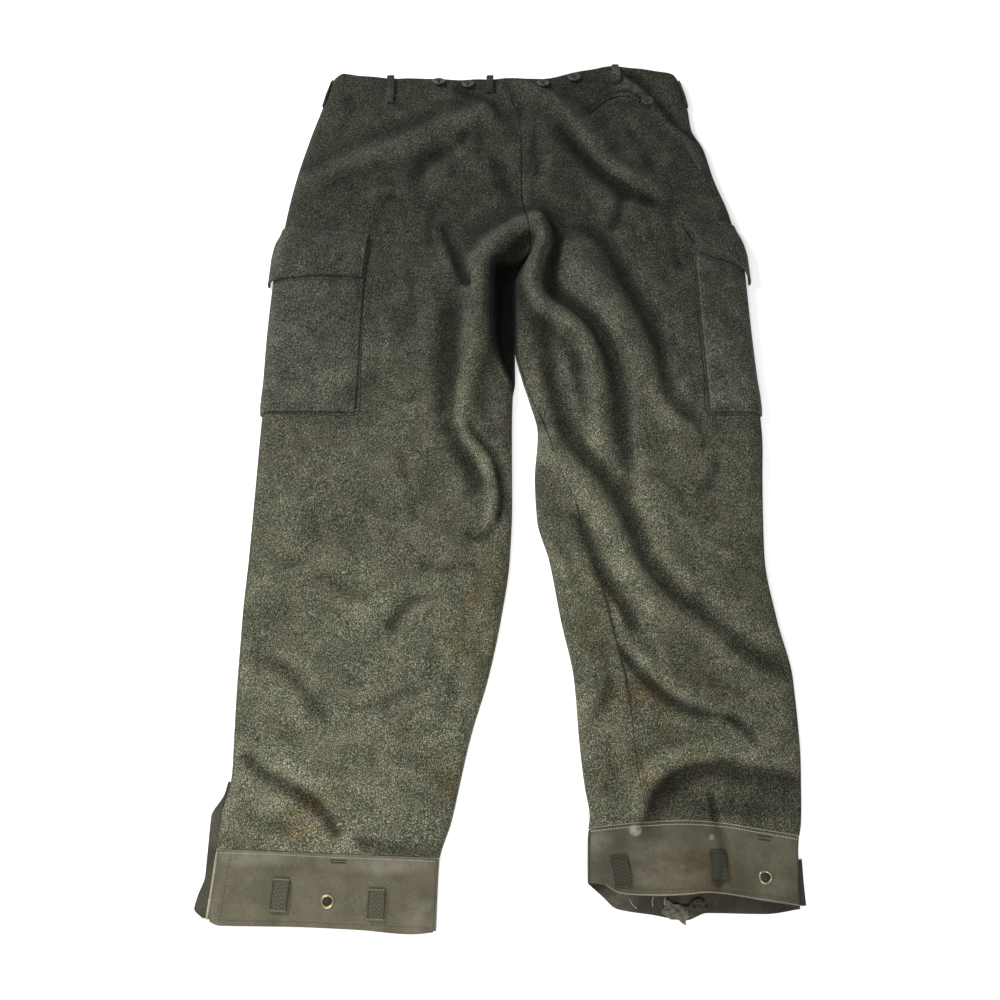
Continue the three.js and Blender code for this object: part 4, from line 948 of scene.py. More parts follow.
def wool_finish(name, tint, right):
    """Milled melange wool: dark, olive and pale fibres mixed in flecks. Painted light makes it lighter towards
    the hems and darker towards the waist, times the given factor on the wearer's right; painted shade darkens
    fold hollows, the hollow between the thighs, the lower right and listed spots, and crests are lighter,
    partly wear and partly painted light."""
    ink = Ink(name, Sheen_Weight=0.06, Sheen_Roughness=0.4, Specular_IOR_Level=0.1)
    at = ink.place()
    x, y, _ = ink.parts(at)
    fleck = ink.noise(at, 720, 4.0, 0.8)
    hair = ink.noise(ink.turned(at, 0.6, (1, 0.3, 1)), 1900, 2.0, 0.6)
    cross = ink.noise(ink.turned(at, -0.9, (1, 0.3, 1)), 1700, 2.0, 0.6)
    mixture = fleck * 0.6 + hair * 0.22 + cross * 0.18
    light = ink.ramp(mixture, 0.51, 0.6)
    dark = ink.ramp(mixture, 0.41, 0.5, 1.0, 0.0)
    patches = ink.ramp(ink.noise(at, 42, 4.0, 0.7), 0.35, 0.65)
    mid = ink.blend(patches, (0.067, 0.075, 0.047, 1), (0.114, 0.103, 0.071, 1))
    colour = ink.blend(light, ink.blend(dark, mid, WOOL_DARK), WOOL_LIGHT)
    wide = ink.ramp(ink.noise(at, 16, 3.0, 0.6), 0.25, 0.75, 0.78, 1.22)
    cloud = wide * ink.ramp(ink.noise(at, 60, 3.0, 0.6), 0.25, 0.75, 0.84, 1.16)
    # Painted shade: fold hollows darker and the hollow between the thighs nearly black; crests lighter, partly
    # wear and partly painted light.
    wear_and_fold_shade = ink.ramp(ink.fold(), -1.0, 1.0, 0.3, 1.4) * ink.ramp(ink.fold(), -3.4, -0.9, 0.06, 1.0)
    # Painted light: lighter towards the hems and darker towards the waist, times the given factor on the
    # wearer's right.
    painted_light = ink.ramp(y, -0.36, 0.36, 1.36, 0.4) * ink.ramp(x, -0.05, 0.2, 1.0, right)
    # Painted shade low on the wearer's right.
    painted_light = painted_light * (1 - ink.ramp(x, 0.0, 0.2) * ink.ramp(y, -0.32, 0.1, 0.26, 0.0))
    # Painted shade in the listed spots.
    for middle, size, depth in SHADED:
        painted_light = painted_light * (1 - ink.spot(x, y, middle, size) * depth)
    colour = ink.shaded(colour, cloud * painted_light * wear_and_fold_shade)
    colour = ink.blend(ink.ramp(y, -0.2, 0.4), colour, ink.blend(1.0, colour, (0.98, 1.0, 1.1, 1), "MULTIPLY"))
    grime = ink.ramp(ink.noise(at, 22, 4.0, 0.65), 0.4, 0.75)
    for middle, size in STAINS:
        share = ink.spot(x, y, middle, size) * grime * 1.15
        colour = ink.blend(share, colour, ink.blend(1.0, colour, STAIN, "MULTIPLY"))
    colour = ink.blend(1.0, colour, tint, "MULTIPLY")
    ink.feed(ink.shader.inputs["Base Color"], colour)
    ink.feed(ink.shader.inputs["Roughness"], ink.ramp(mixture, 0.3, 0.7, 0.98, 0.86))
    nap = ink.bump(mixture, 0.0011, 0.85)
    ink.feed(ink.shader.inputs["Normal"], ink.bump(ink.noise(at, 130, 3.0, 0.6), 0.0012, 0.35, nap))
    return ink.material


def canvas_finish(name, dark, light, wear_and_fold_shade):
    """Plain-woven canvas: crossing ribs 1.9 mm apart, worn pale in patches and grimy in others."""
    ink = Ink(name, Sheen_Weight=0.08, Sheen_Roughness=0.5, Specular_IOR_Level=0.3)
    at = ink.place()
    x, y, _ = ink.parts(at)
    u, v, _ = ink.parts(ink.place("UV"))
    pitch = 0.0019
    warp = ink.node("ShaderNodeMath", {"operation": "SINE"}, {0: u * (2 * math.pi / pitch)})
    weft = ink.node("ShaderNodeMath", {"operation": "SINE"}, {0: v * (2 * math.pi / pitch)})
    weave = warp * weft * 0.5 + 0.5
    slub = ink.noise(ink.turned(ink.place("UV"), 0, (1, 0.05, 1)), 900, 2.0, 0.6)
    mottle = ink.noise(at, 28, 5.0, 0.65)
    speck = ink.noise(at, 700, 2.0, 0.7)
    colour = ink.blend(ink.ramp(mottle, 0.3, 0.72), dark, light)
    colour = ink.blend(ink.ramp(weave * 0.5 + slub * 0.2 + speck * 0.3, 0.3, 0.7) * 0.9, colour, light)
    colour = ink.blend(ink.ramp(speck, 0.35, 0.5, 0.5, 0.0), colour, dark)
    # Painted shade: darker in fold hollows and on the wearer's right; painted light on fold crests and on the
    # left.
    shade = ink.ramp(ink.fold(), -1.0, 1.0, 0.45, 1.3) * ink.ramp(x, -0.05, 0.05, 1.28, 0.8)
    colour = ink.shaded(colour, shade)
    browned = ink.blend(1.0, colour, (0.9, 0.78, 0.6, 1), "MULTIPLY")
    colour = ink.blend(ink.spot(x, y, (195, 66), (60, 30)), colour, browned)
    for middle, size, strength in wear_and_fold_shade:
        share = ink.spot(x, y, middle, size) * ink.ramp(ink.noise(at, 90, 4.0, 0.7), 0.15, 0.85) * strength
        colour = ink.blend(share, colour, (0.42, 0.4, 0.33, 1))
    ink.feed(ink.shader.inputs["Base Color"], colour)
    ink.feed(ink.shader.inputs["Roughness"], ink.ramp(mottle, 0.3, 0.7, 0.92, 0.8))
    fine = ink.bump(weave + slub * 0.6, 0.0004, 0.9)
    ink.feed(ink.shader.inputs["Normal"], ink.bump(ink.noise(at, 150, 3.0), 0.0007, 0.3, fine))
    return ink.material


def tape_finish():
    """Herringbone tape: twill ribs that turn over at each 5.6 mm, by a zigzag added to the length."""
    ink = Ink("herringbone tape", Sheen_Weight=0.1, Specular_IOR_Level=0.3)
    at = ink.place()
    u, v, _ = ink.parts(ink.place("UV"))
    zigzag = ink.node("ShaderNodeMath", {"operation": "PINGPONG"}, {0: u + 1.0, 1: 0.0056})
    phase = (v + zigzag * 1.5) * (2 * math.pi / 0.0038)
    ribs = ink.node("ShaderNodeMath", {"operation": "SINE"}, {0: phase}) * 0.5 + 0.5
    speck = ink.noise(at, 800, 2.0, 0.7)
    colour = ink.blend(ribs * 0.75 + speck * 0.25, (0.005, 0.006, 0.004, 1), (0.17, 0.168, 0.108, 1))
    # Painted shade: the tape darker on the wearer's right.
    dimmed = ink.ramp(ink.parts(at)[0], -0.05, 0.05, 1.0, 0.5)
    ink.feed(ink.shader.inputs["Base Color"], ink.shaded(colour, dimmed))
    ink.feed(ink.shader.inputs["Roughness"], ink.ramp(speck, 0.3, 0.7, 0.95, 0.8))
    ink.feed(ink.shader.inputs["Normal"], ink.bump(ribs + speck * 0.5, 0.0006, 1.0))
    return ink.material


def thread_finish(name, low, high):
    """Sewing thread: two tones by a fine noise, with a soft twist in the bump."""
    ink = Ink(name, Specular_IOR_Level=0.35)
    at = ink.place()
    tone = ink.noise(at, 900, 2.0, 0.6)
    ink.feed(ink.shader.inputs["Base Color"], ink.blend(tone, low, high))
    ink.feed(ink.shader.inputs["Roughness"], ink.ramp(tone, 0.3, 0.7, 0.8, 0.6))
    ink.feed(ink.shader.inputs["Normal"], ink.bump(tone, 0.0002, 0.6))
    return ink.material


def button_finish():
    """Pressed dish button: mottled grey-brown with fine scratches."""
    ink = Ink("grey button", Specular_IOR_Level=0.4, Coat_Weight=0.05)
    at = ink.place()
    mottle = ink.noise(at, 240, 4.0, 0.6)
    scratch = ink.noise(ink.turned(at, 0.4, (1, 0.08, 1)), 1800, 2.0, 0.6)
    colour = ink.blend(mottle, (0.016, 0.016, 0.014, 1), (0.06, 0.06, 0.054, 1))
    ink.feed(ink.shader.inputs["Base Color"], colour)
    ink.feed(ink.shader.inputs["Roughness"], ink.ramp(scratch, 0.3, 0.7, 0.36, 0.6))
    ink.feed(ink.shader.inputs["Normal"], ink.bump(scratch, 0.00008, 0.5))
    return ink.material


def brass_finish():
    """Aged brass: bright on the crown, brown tarnish in noise patches."""
    ink = Ink("aged brass", Metallic=1.0)
    at = ink.place()
    age = ink.noise(at, 420, 4.0, 0.65)
    colour = ink.blend(ink.ramp(age, 0.35, 0.7), (0.6, 0.5, 0.28, 1), (0.2, 0.16, 0.08, 1))
    ink.feed(ink.shader.inputs["Base Color"], colour)
    ink.feed(ink.shader.inputs["Roughness"], ink.ramp(age, 0.3, 0.7, 0.25, 0.55))
    ink.feed(ink.shader.inputs["Normal"], ink.bump(age, 0.00008, 0.5))
    return ink.material


WORN_LEFT = [((-75, 20), (26, 22), 0.25), ((-250, 78), (60, 12), 0.3), ((-110, 70), (50, 12), 0.3)]
WORN_RIGHT = [
    ((139, 104), (8, 7), 1.6), ((98, 96), (22, 16), 0.3), ((165, 84), (44, 16), 0.18),
    ((217, 97), (4, 4), 1.0), ((170, 60), (50, 18), 0.25), ((280, 70), (40, 40), 0.15),
]
wool = wool_finish("grey-green wool", (0.86, 0.86, 0.84, 1), 0.98)
pocket_wool = wool_finish("pocket wool", (0.95, 0.96, 0.97, 1), 1.12)
canvas = canvas_finish("olive canvas", (0.055, 0.05, 0.031, 1), (0.15, 0.136, 0.09, 1), WORN_LEFT + WORN_RIGHT)
dark_canvas = canvas_finish("dark canvas", (0.03, 0.028, 0.02, 1), (0.085, 0.078, 0.055, 1), [])
WORN_INSIDE = [((118, 36), (30, 16), 0.3)]
# A darker copy of the canvas, painted shade for the inside of the right cuff's mouth.
shaded_inner_canvas = canvas_finish("shaded inner canvas", (0.02, 0.02, 0.013, 1), (0.085, 0.078, 0.05, 1), WORN_INSIDE)
pale_canvas = canvas_finish("pale canvas edge", (0.2, 0.18, 0.13, 1), (0.42, 0.38, 0.28, 1), [])
facing = canvas_finish("worn facing", (0.075, 0.07, 0.05, 1), (0.22, 0.205, 0.16, 1), [])
tape = tape_finish()
dark_thread = thread_finish("dark thread", (0.012, 0.012, 0.009, 1), (0.035, 0.035, 0.026, 1))
grey_thread = thread_finish("grey thread", (0.1, 0.1, 0.08, 1), (0.24, 0.24, 0.19, 1))
pale_thread = thread_finish("pale thread", (0.34, 0.31, 0.22, 1), (0.6, 0.56, 0.44, 1))
worn_tape = thread_finish("worn tape ends", (0.05, 0.049, 0.032, 1), (0.26, 0.245, 0.18, 1))
horn = button_finish()
brass = brass_finish()


# ---------- Main panels ----------
def spaced(*stops):
    """Rising numbers from (start, step) pairs to the last stop."""
    runs = []
    for (start, step), (end, _) in zip(stops, stops[1:]):
        runs.append(np.linspace(start, end, max(1, round((end - start) / step)), endpoint=False))
    return np.concatenate([*runs, [stops[-1][0]]])


CUFF_SEAM = CUFF_TOP + 0.2
BACK_UPS = spaced((CUFF_SEAM, 3.7), (690, 1.9), (835, 3.3), (WAIST, 0))
BACK_SHARES = spaced((0, 0.017), (0.34, 0.0075), (0.67, 0.017), (1, 0))
FRONT_UPS = spaced((CUFF_SEAM, 4.5), (WAIST, 0))
FRONT_COLUMNS = {
    "left": spaced((0, 0.5), (1, 0.2), (2, 0.04), (3, 0.2), (4, 0.5), (5, 0)),
    "right": spaced((0, 0.04), (1, 0.2), (2, 0.04), (3, 0.2), (4, 0.04), (5, 0)),
}


def cloth(name, grid, thickness, finish):
    """One piece of cloth: its wall."""
    piece = add_piece(name + "_cloth", wall(name, grid, thickness), finish, [name])
    return piece


for side, leg in LEGS.items():
    line = panel_line(leg)
    back = back_grid(leg, BACK_UPS, BACK_SHARES, line)
    front = front_grid(leg, FRONT_UPS, FRONT_COLUMNS[side], line)
    cloth("back_" + side, back, WOOL, wool)
    cloth("front_" + side, front, WOOL, wool)

# ---------- Cuffs ----------
CUFF_UPS = np.linspace(HEM_UP, CUFF_TOP, 34)
CUFF_COLUMNS = spaced((0, 0.34), (1, 0.2), (2, 0.02), (3, 0.2), (4, 0.34), (5, 0))
for side, leg in LEGS.items():
    band = {**leg, "seams": PLAIN_SEAMS}
    for face in ("back", "front"):
        line = cuff_line(leg, face, CUFF_SEAM_GAP)
        if face == "back":
            grid = back_grid(band, CUFF_UPS, BACK_SHARES, line)
        else:
            grid = front_grid(band, CUFF_UPS, CUFF_COLUMNS, line)
        # The right front cuff inside the mouth takes the darker copy as painted shade.
        in_shade = face == "front" and side == "right"
        cloth(f"cuff_{face}_{side}", grid, CANVAS, shaded_inner_canvas if in_shade else canvas)


def crumpled(names, middle, size, turn, lift, height):
    """Small rectangle of cloth on walls, with crossed sine waves as its crumples."""
    u, v = np.meshgrid(np.linspace(-0.5, 0.5, 34), np.linspace(-0.5, 0.5, 26))
    a, b = u * size[0] + 1.2 * np.sin(9 * v + 1), v * size[1] + 1.0 * np.sin(11 * u)
    x = middle[0] + a * math.cos(turn) - b * math.sin(turn)
    y = middle[1] + a * math.sin(turn) + b * math.cos(turn)
    base, normal = drape(names, np.stack([x, y], axis=-1), lift)
    crossed = np.sin(13 * u + 5 * v) * np.cos(7 * v + 2) + 0.6 * np.sin(21 * u - 9 * v)
    rise = height * crossed * (1 - 0.5 * np.abs(2 * u))
    return base + normal * (rise[..., None] + height)


FACING_THICKNESS = 1.0
FACINGS = {
    # middle, size, turn, lift, height of the crumples
    "cuff_facing_pale": ((178, 25), (26, 15), -0.35, 1.2, 1.5),
    "cuff_facing_dark": ((198, 29), (20, 13), 0.6, 2.0, 1.3),
}
for name, (middle, size, turn, lift, height) in FACINGS.items():
    grid = crumpled(["cuff_front_right"], middle, size, turn, lift, height)
    finish = facing if name.endswith("pale") else dark_canvas
    piece = add_piece(name, wall(name, grid, FACING_THICKNESS), finish)

GUSSETS = {
    "left": table(
        "y x",
        (19, -301), (28, -310.5), (40, -308), (60, -302), (90, -301.5), (118, -301), (141, -289),
        (154, -286),
    ),
    "right": table("y x", (31, 311), (45, 310.5), (60, 310.5), (76, 310.5)),
}
GUSSET_CLEARANCE = {"left": 1.6, "right": 0.8}
GUSSET_THICKNESS = 2.2
for side, outline in GUSSETS.items():
    leg = LEGS[side]
    y = np.linspace(outline["y"][0], outline["y"][-1], 60)[:, None]
    inner = edges(leg, np.maximum(y, HEM_UP))[0] - leg["inward"] * GUSSET_CLEARANCE[side]
    share = np.linspace(0, 1, 8)[None, :]
    x = mix(inner, sample(outline, "y", "x", y), share)
    z = GUSSET_THICKNESS / 2 + 0.5 * share * np.sin(y / 9.0) ** 2
    grid = np.stack([x, y + 0 * x, z + 0 * x], axis=-1)
    cloth("cuff_gusset_" + side, grid, GUSSET_THICKNESS, dark_canvas)

# ---------- Cargo pockets and flaps ----------
POCKET_LIFT = WOOL + SEAM_GAP + 0.15
POCKETS = {
    "left": {"foot": 573, "head": 799, "reach": 109, "puff": 3.2},
    "right": {"foot": 573, "head": 799, "reach": 60, "puff": 2.2},
}
FLAPS = {
    "left": {
        "head": 109,
        "foot": 107,
        "edges": table("in foot head", (0, 746, 823), (20, 748, 822), (60, 750, 818), (108, 749, 813)),
    },
    "right": {
        "head": 64,
        "foot": 52,
        "edges": table(
            "in foot head",
            (0, 750, 828), (5, 760, 828), (17, 770, 829), (37, 777, 829), (53, 783, 830), (64, 785, 830),
        ),
    },
}
POCKET_EDGE = 12.0
POCKET_MOUTH = 14.0
FLAP_TURN = 0.27
FLAP_FLARE = 3.4
FLARE_ROWS = 0.6
FLARE_REACH = 22.0


def pocket_lift(pocket, up, inward):
    """Height of a pocket over the panel: it rises over POCKET_EDGE from its sewn edges to its puff."""
    foot = smooth((up - pocket["foot"]) / POCKET_EDGE)
    mouth = smooth((pocket["head"] - up) / POCKET_MOUTH)
    side = smooth((pocket["reach"] - inward) / POCKET_EDGE)
    edge = mix(0.3, 1, smooth(inward / POCKET_EDGE))
    return POCKET_LIFT + pocket["puff"] * foot * mouth * side * edge


def reach_from_edge(reach, column):
    roll = ROLL * (1 - np.cos(np.clip(column, 0, 1) * math.pi / 2))
    return np.where(column > 1, mix(ROLL, reach, column - 1), roll)


def lifted(leg, up, place, lift, line):
    """Points of the panel at ring places, moved out of the cloth by finite differences of ring_point."""
    along = ring_point(leg, up + 1, place, line) - ring_point(leg, up - 1, place, line)
    across = ring_point(leg, up, place + 0.01, line) - ring_point(leg, up, place - 0.01, line)
    outward = unit(np.cross(across, along)) * leg["inward"]
    return ring_point(leg, up, place, line) + outward * lift[..., None]


def turned_edge(rows, columns, thickness, extra, width):
    """Thickness of a piece whose edges are turned under: extra at the border, gone width rows inside."""
    i = np.minimum(np.arange(rows), np.arange(rows)[::-1])[:, None]
    j = np.minimum(np.arange(columns), np.arange(columns)[::-1])[None, :]
    return thickness + extra * (1 - smooth((np.minimum(i, j) - 1) / width))


for side, leg in LEGS.items():
    line = panel_line(leg)
    pocket, flap = POCKETS[side], FLAPS[side]
    columns = spaced((-0.25, 0.05), (1, 0.02), (2, 0))[None, :]
    rows = np.linspace(0, 1, 110)[:, None]
    up = mix(pocket["foot"], pocket["head"], rows) + 0 * columns
    inward = reach_from_edge(pocket["reach"], columns) + 0 * up
    place = np.where(columns > 1, place_from_outer(edges(leg, up)[2], inward), columns)
    grid = lifted(leg, up, place, pocket_lift(pocket, up, inward), line)
    cloth("cargo_pocket_" + side, grid, WOOL, pocket_wool)
    columns = spaced((-0.15, 0.05), (1, 0.02), (2, 0))[None, :]
    rows = np.linspace(0, 1, 60)[:, None]
    inward = reach_from_edge(mix(flap["foot"], flap["head"], rows), columns)
    foot = sample(flap["edges"], "in", "foot", inward)
    up = mix(foot, sample(flap["edges"], "in", "head", inward), rows)
    on_pocket = pocket_lift(pocket, up - POCKET_MOUTH, np.minimum(inward, pocket["reach"] - 5))
    lift = mix(POCKET_LIFT, on_pocket + POCKET_LIFT, smooth((1 - rows) / FLAP_TURN))
    lift = lift + FLAP_FLARE * smooth((1 - rows) / FLARE_ROWS) * smooth((FLARE_REACH - inward) / FLARE_REACH)
    place = np.where(columns > 1, place_from_outer(edges(leg, up)[2], inward), columns)
    grid = lifted(leg, up, place, lift, line)
    thickness = turned_edge(*grid.shape[:2], WOOL, 0.5, 4)
    cloth("cargo_flap_" + side, grid, thickness, pocket_wool)


# ---------- Loops ----------
def strip(names, path, width, thickness, lift, arch, crown=0.0):
    """Strip on walls: its grid runs along and across a path, lifted by arch(share) and a crown across."""
    centre = curve(path, 1.0)
    travel = unit(np.gradient(centre, axis=0))
    across = np.linspace(-0.5, 0.5, max(7, int(width) | 1))
    side = np.stack([travel[:, 1], -travel[:, 0]], axis=1)
    xy = centre[:, None] + side[:, None] * (across * width)[None, :, None]
    share = np.linspace(0, 1, len(centre))[:, None]
    base, normal = drape(names, xy, thickness / 2 + lift)
    rise = arch * np.sin(math.pi * share) + crown * (1 - 4 * across[None, :] ** 2)
    return base + normal * rise[..., None]


LOOP_ARCH = 2.4
BELT_LOOPS = {
    "belt_loop_back_left": ("back_left", [(-143, 1055), (-142, 1035), (-143, 1011)], 9.5),
    "belt_loop_centre_back": ("back_left", [(-13, 1055), (-13, 1028)], 9.0),
    "belt_loop_back_right": ("back_right", [(151, 1072), (152, 1058), (154, 1044)], 9.0),
}
for name, (panel, path, width) in BELT_LOOPS.items():
    grid = strip([panel], path, width, 2.2, 0.5, LOOP_ARCH, 0.7)
    cloth(name, grid, 2.2, pocket_wool)
SIDE_LOOP_FOOT = 1016
SIDE_LOOP_LENGTH = 36
for side, leg in LEGS.items():
    up = np.linspace(SIDE_LOOP_FOOT, SIDE_LOOP_FOOT + SIDE_LOOP_LENGTH, 40)[:, None]
    place = np.linspace(-0.05, 0.36, 14)[None, :]
    share = (up - SIDE_LOOP_FOOT) / SIDE_LOOP_LENGTH
    lift = WOOL / 2 + 1.1 + 0.6 * np.sin(math.pi * share) ** 2 + 0 * place
    grid = lifted(leg, up + 0 * place, place + 0 * up, lift, panel_line(leg))
    cloth("belt_loop_side_" + side, grid, 2.0, pocket_wool)
TAPE_LOOPS = {
    "tape_loop_left_1": ("cuff_back_left", [(-221, 57), (-223, 25)]),
    "tape_loop_left_2": ("cuff_back_left", [(-124, 47), (-125, 17)]),
    "tape_loop_right_1": ("cuff_back_right", [(120, 79), (124, 49)]),
    "tape_loop_right_2": ("cuff_back_right", [(222, 84), (222, 53)]),
}
for name, (cuff, path) in TAPE_LOOPS.items():
    grid = strip([cuff], path, 16.5, TAPE, 0.5, 2.6)
    cloth(name, grid, TAPE, tape)

# ---------- Hip pocket ----------
WELT_PATH = [(112, 996), (129, 1013), (149, 1024), (169, 1025), (182, 1018)]
grid = strip(["back_right"], WELT_PATH, 8.0, 1.8, 0.1, 0.4, 1.3)
cloth("hip_pocket_welt", grid, 1.8, wool)

# ---------- Fly underlap ----------
UNDERLAP = {"foot": 860, "head": 1040, "width": 40}
up = np.linspace(UNDERLAP["foot"], UNDERLAP["head"], 60)[:, None]
share = np.linspace(-0.5, 0.5, 14)[None, :]
x = sample(SEAT_SEAM, "up", "x", up) + share * UNDERLAP["width"]
grid = np.stack([x, up + 0 * x, np.full(x.shape, UNDER_Z + WOOL + SEAM_GAP)], axis=-1)
cloth("fly_underlap", grid, WOOL, wool)

# ---------- Buttons and eyelets ----------
BUTTON_PROFILE = [
    (0.01, 0.0), (6.4, 0.0), (7.9, 0.5), (8.5, 1.3), (8.4, 2.2), (7.9, 2.8), (7.2, 3.0), (6.5, 2.8),
    (5.9, 2.3), (5.2, 2.0), (0.01, 1.95),
]
BUTTONS = {
    "brace_button_1": ("back_left", -80, 1045, 0.1, (0.0, 0.42)),
    "brace_button_2": ("back_left", -42, 1043, -0.1, (0.06, 0.4)),
    "brace_button_3": ("back_right", 56, 1042, 0.2, (0.0, 0.36)),
    "brace_button_4": ("back_right", 97, 1053, 0.1, (-0.05, 0.3)),
    "hip_pocket_button": ("back_right", 191, 1013, -0.7, (0.42, 0.5)),
}
HOLE_SPREAD = 1.5
BUTTON_LIFT = 1.1
threads = []
for name, (panel, x, y, spin, tilt) in BUTTONS.items():
    disc = lathe(BUTTON_PROFILE, 64)
    built = seated(disc, [panel], x, y, BUTTON_LIFT, spin, tilt)
    add_piece(name + "_disc", built, horn, [name])
    for k in (-1, 1):
        aside = k * HOLE_SPREAD
        bar = np.array([(-2.1, aside, 2.1), (0.0, aside, 2.5), (2.1, aside, 2.1)])
        sewn_bar = tube(curve(bar, 0.3), 0.55, 8)
        threads.append(seated(sewn_bar, [panel], x, y, BUTTON_LIFT, spin, tilt))
    shank = lathe([(0.01, -0.6), (2.0, -0.7), (1.7, -0.2), (2.0, 0.1), (0.01, 0.1)], 16)
    threads.append(seated(shank, [panel], x, y, BUTTON_LIFT, spin, tilt))
add_piece("button_threads", joined(threads), dark_thread)
EYELET_PROFILE = [
    (4.3, -0.6), (6.6, 0.0), (7.2, 0.25), (7.1, 0.7), (6.3, 1.15), (5.2, 1.1), (4.5, 0.5), (4.3, -0.6),
]
EYELETS = {"eyelet_left": ("cuff_back_left", -174, 35), "eyelet_right": ("cuff_back_right", 269, 58)}
holes = []
for name, (cuff, x, y) in EYELETS.items():
    built = seated(lathe(EYELET_PROFILE, 64), [cuff], x, y, 0.1)
    add_piece(name + "_ring", built, brass, [name])
    disc = lathe([(0.01, 0.06), (4.9, 0.06), (4.9, 0.22), (0.01, 0.22)], 32)
    holes.append(seated(disc, [cuff], x, y, 0.0))
add_piece("eyelet_shadows", joined(holes), dark_thread)

# ---------- Sewing ----------
LEFT, RIGHT = "back_left", "back_right"
CUFF_LEFT, CUFF_RIGHT = "cuff_back_left", "cuff_back_right"
POCKET_LEFT, POCKET_RIGHT = "cargo_pocket_left", "cargo_pocket_right"
FLAP_LEFT, FLAP_RIGHT = "cargo_flap_left", "cargo_flap_right"
SEAMS = [
    # walls, path, length and pitch of a stitch, radius, thread
    (
        [LEFT, RIGHT],
        [(34, 833), (28, 868), (27.5, 941), (25.5, 987), (17, 1011), (8, 1049)],
        3.0, 4.2, 0.32, "dark",
    ),
    ([LEFT], [(30, 840), (24, 868), (23.5, 941), (21.5, 985), (12, 1010), (4, 1046)], 2.4, 4.2, 0.26, "dark"),
    ([RIGHT], [(91, 440), (113, 366), (129, 300), (137, 260), (147, 199), (150, 126)], 2.8, 4.0, 0.3, "dark"),
    (
        [RIGHT],
        [(154, 1050), (182, 1026), (202, 998), (217, 977), (240, 950), (257, 914)],
        2.6, 3.8, 0.3, "dark",
    ),
    (
        [RIGHT],
        [(151, 1045), (178, 1020), (197, 993), (212, 972), (235, 945), (252, 911)],
        2.2, 3.8, 0.22, "grey",
    ),
    ([RIGHT], [(116, 989), (131, 1003), (146, 1013), (160, 1018), (174, 1016)], 2.4, 3.6, 0.26, "dark"),
    ([POCKET_LEFT], [(-272, 577), (-220, 577), (-172, 577), (-170, 600), (-170, 742)], 2.6, 3.6, 0.3, "dark"),
    ([FLAP_LEFT], [(-258, 752), (-212, 752), (-170, 755), (-164, 804)], 2.6, 3.6, 0.3, "dark"),
    ([FLAP_LEFT], [(-256, 812), (-212, 809), (-166, 803)], 2.6, 3.6, 0.26, "dark"),
    ([POCKET_RIGHT], [(241, 776), (243, 700), (245, 640), (247, 578)], 2.8, 3.8, 0.34, "grey"),
    ([POCKET_RIGHT], [(247, 770), (249, 700), (251, 640), (253, 580)], 2.6, 3.8, 0.24, "dark"),
    ([POCKET_RIGHT], [(250, 577), (275, 577), (300, 577)], 2.6, 3.6, 0.3, "dark"),
    ([FLAP_RIGHT], [(234, 822), (252, 792), (266, 785), (281, 778), (291, 767)], 2.6, 3.6, 0.26, "grey"),
    ([FLAP_RIGHT], [(240, 823), (262, 822), (284, 819)], 2.6, 3.6, 0.26, "dark"),
    (
        [CUFF_LEFT],
        [(-288, 82), (-237, 80.5), (-172, 77.5), (-118, 75.5), (-66, 73.5)],
        2.2, 2.9, 0.34, "pale",
    ),
    ([CUFF_LEFT], [(-275, 80), (-278, 50), (-281, 16)], 2.6, 3.4, 0.32, "dark"),
    ([CUFF_LEFT], [(-276, 17), (-213, 16), (-141, 13), (-70, 10)], 2.4, 3.4, 0.22, "dark"),
    (
        [CUFF_RIGHT],
        [(93, 103), (142, 108), (189, 110), (226, 108), (262, 102.5), (306, 95)],
        2.4, 3.0, 0.4, "pale",
    ),
    (
        [CUFF_RIGHT],
        [(106, 57), (118, 49), (156, 46), (188, 47), (226, 45), (268, 41), (300, 36)],
        2.4, 3.4, 0.24, "dark",
    ),
]
BAR_TACKS = [
    (CUFF_LEFT, (-173, 75), (-156, 74.4)), (CUFF_LEFT, (-172, 72.4), (-157, 72)),
    (CUFF_RIGHT, (264, 99), (279, 97)), (CUFF_RIGHT, (264, 95.4), (277, 93.8)),
    (RIGHT, (111, 1000), (115, 995)), (RIGHT, (179, 1027), (185, 1020)),
    (FLAP_LEFT, (-168, 806), (-160, 804)), (FLAP_RIGHT, (230, 825), (236, 821)),
]
tones = {"dark": dark_thread, "grey": grey_thread, "pale": pale_thread}
for tone, finish in tones.items():
    rows = [sewn(names, path, *sizes) for names, path, *sizes, kind in SEAMS if kind == tone]
    if tone == "dark":
        rows += [sewn([wall_name], [a, b], 1.6, 1.15, 0.62) for wall_name, a, b in BAR_TACKS]
    add_piece(f"stitching_{tone}", joined(rows), finish)


def cord(names, path, radius, lift, spacing=1.2):
    points, _ = drape(names, curve(path, spacing), lift)
    return tube(points, radius, 8)
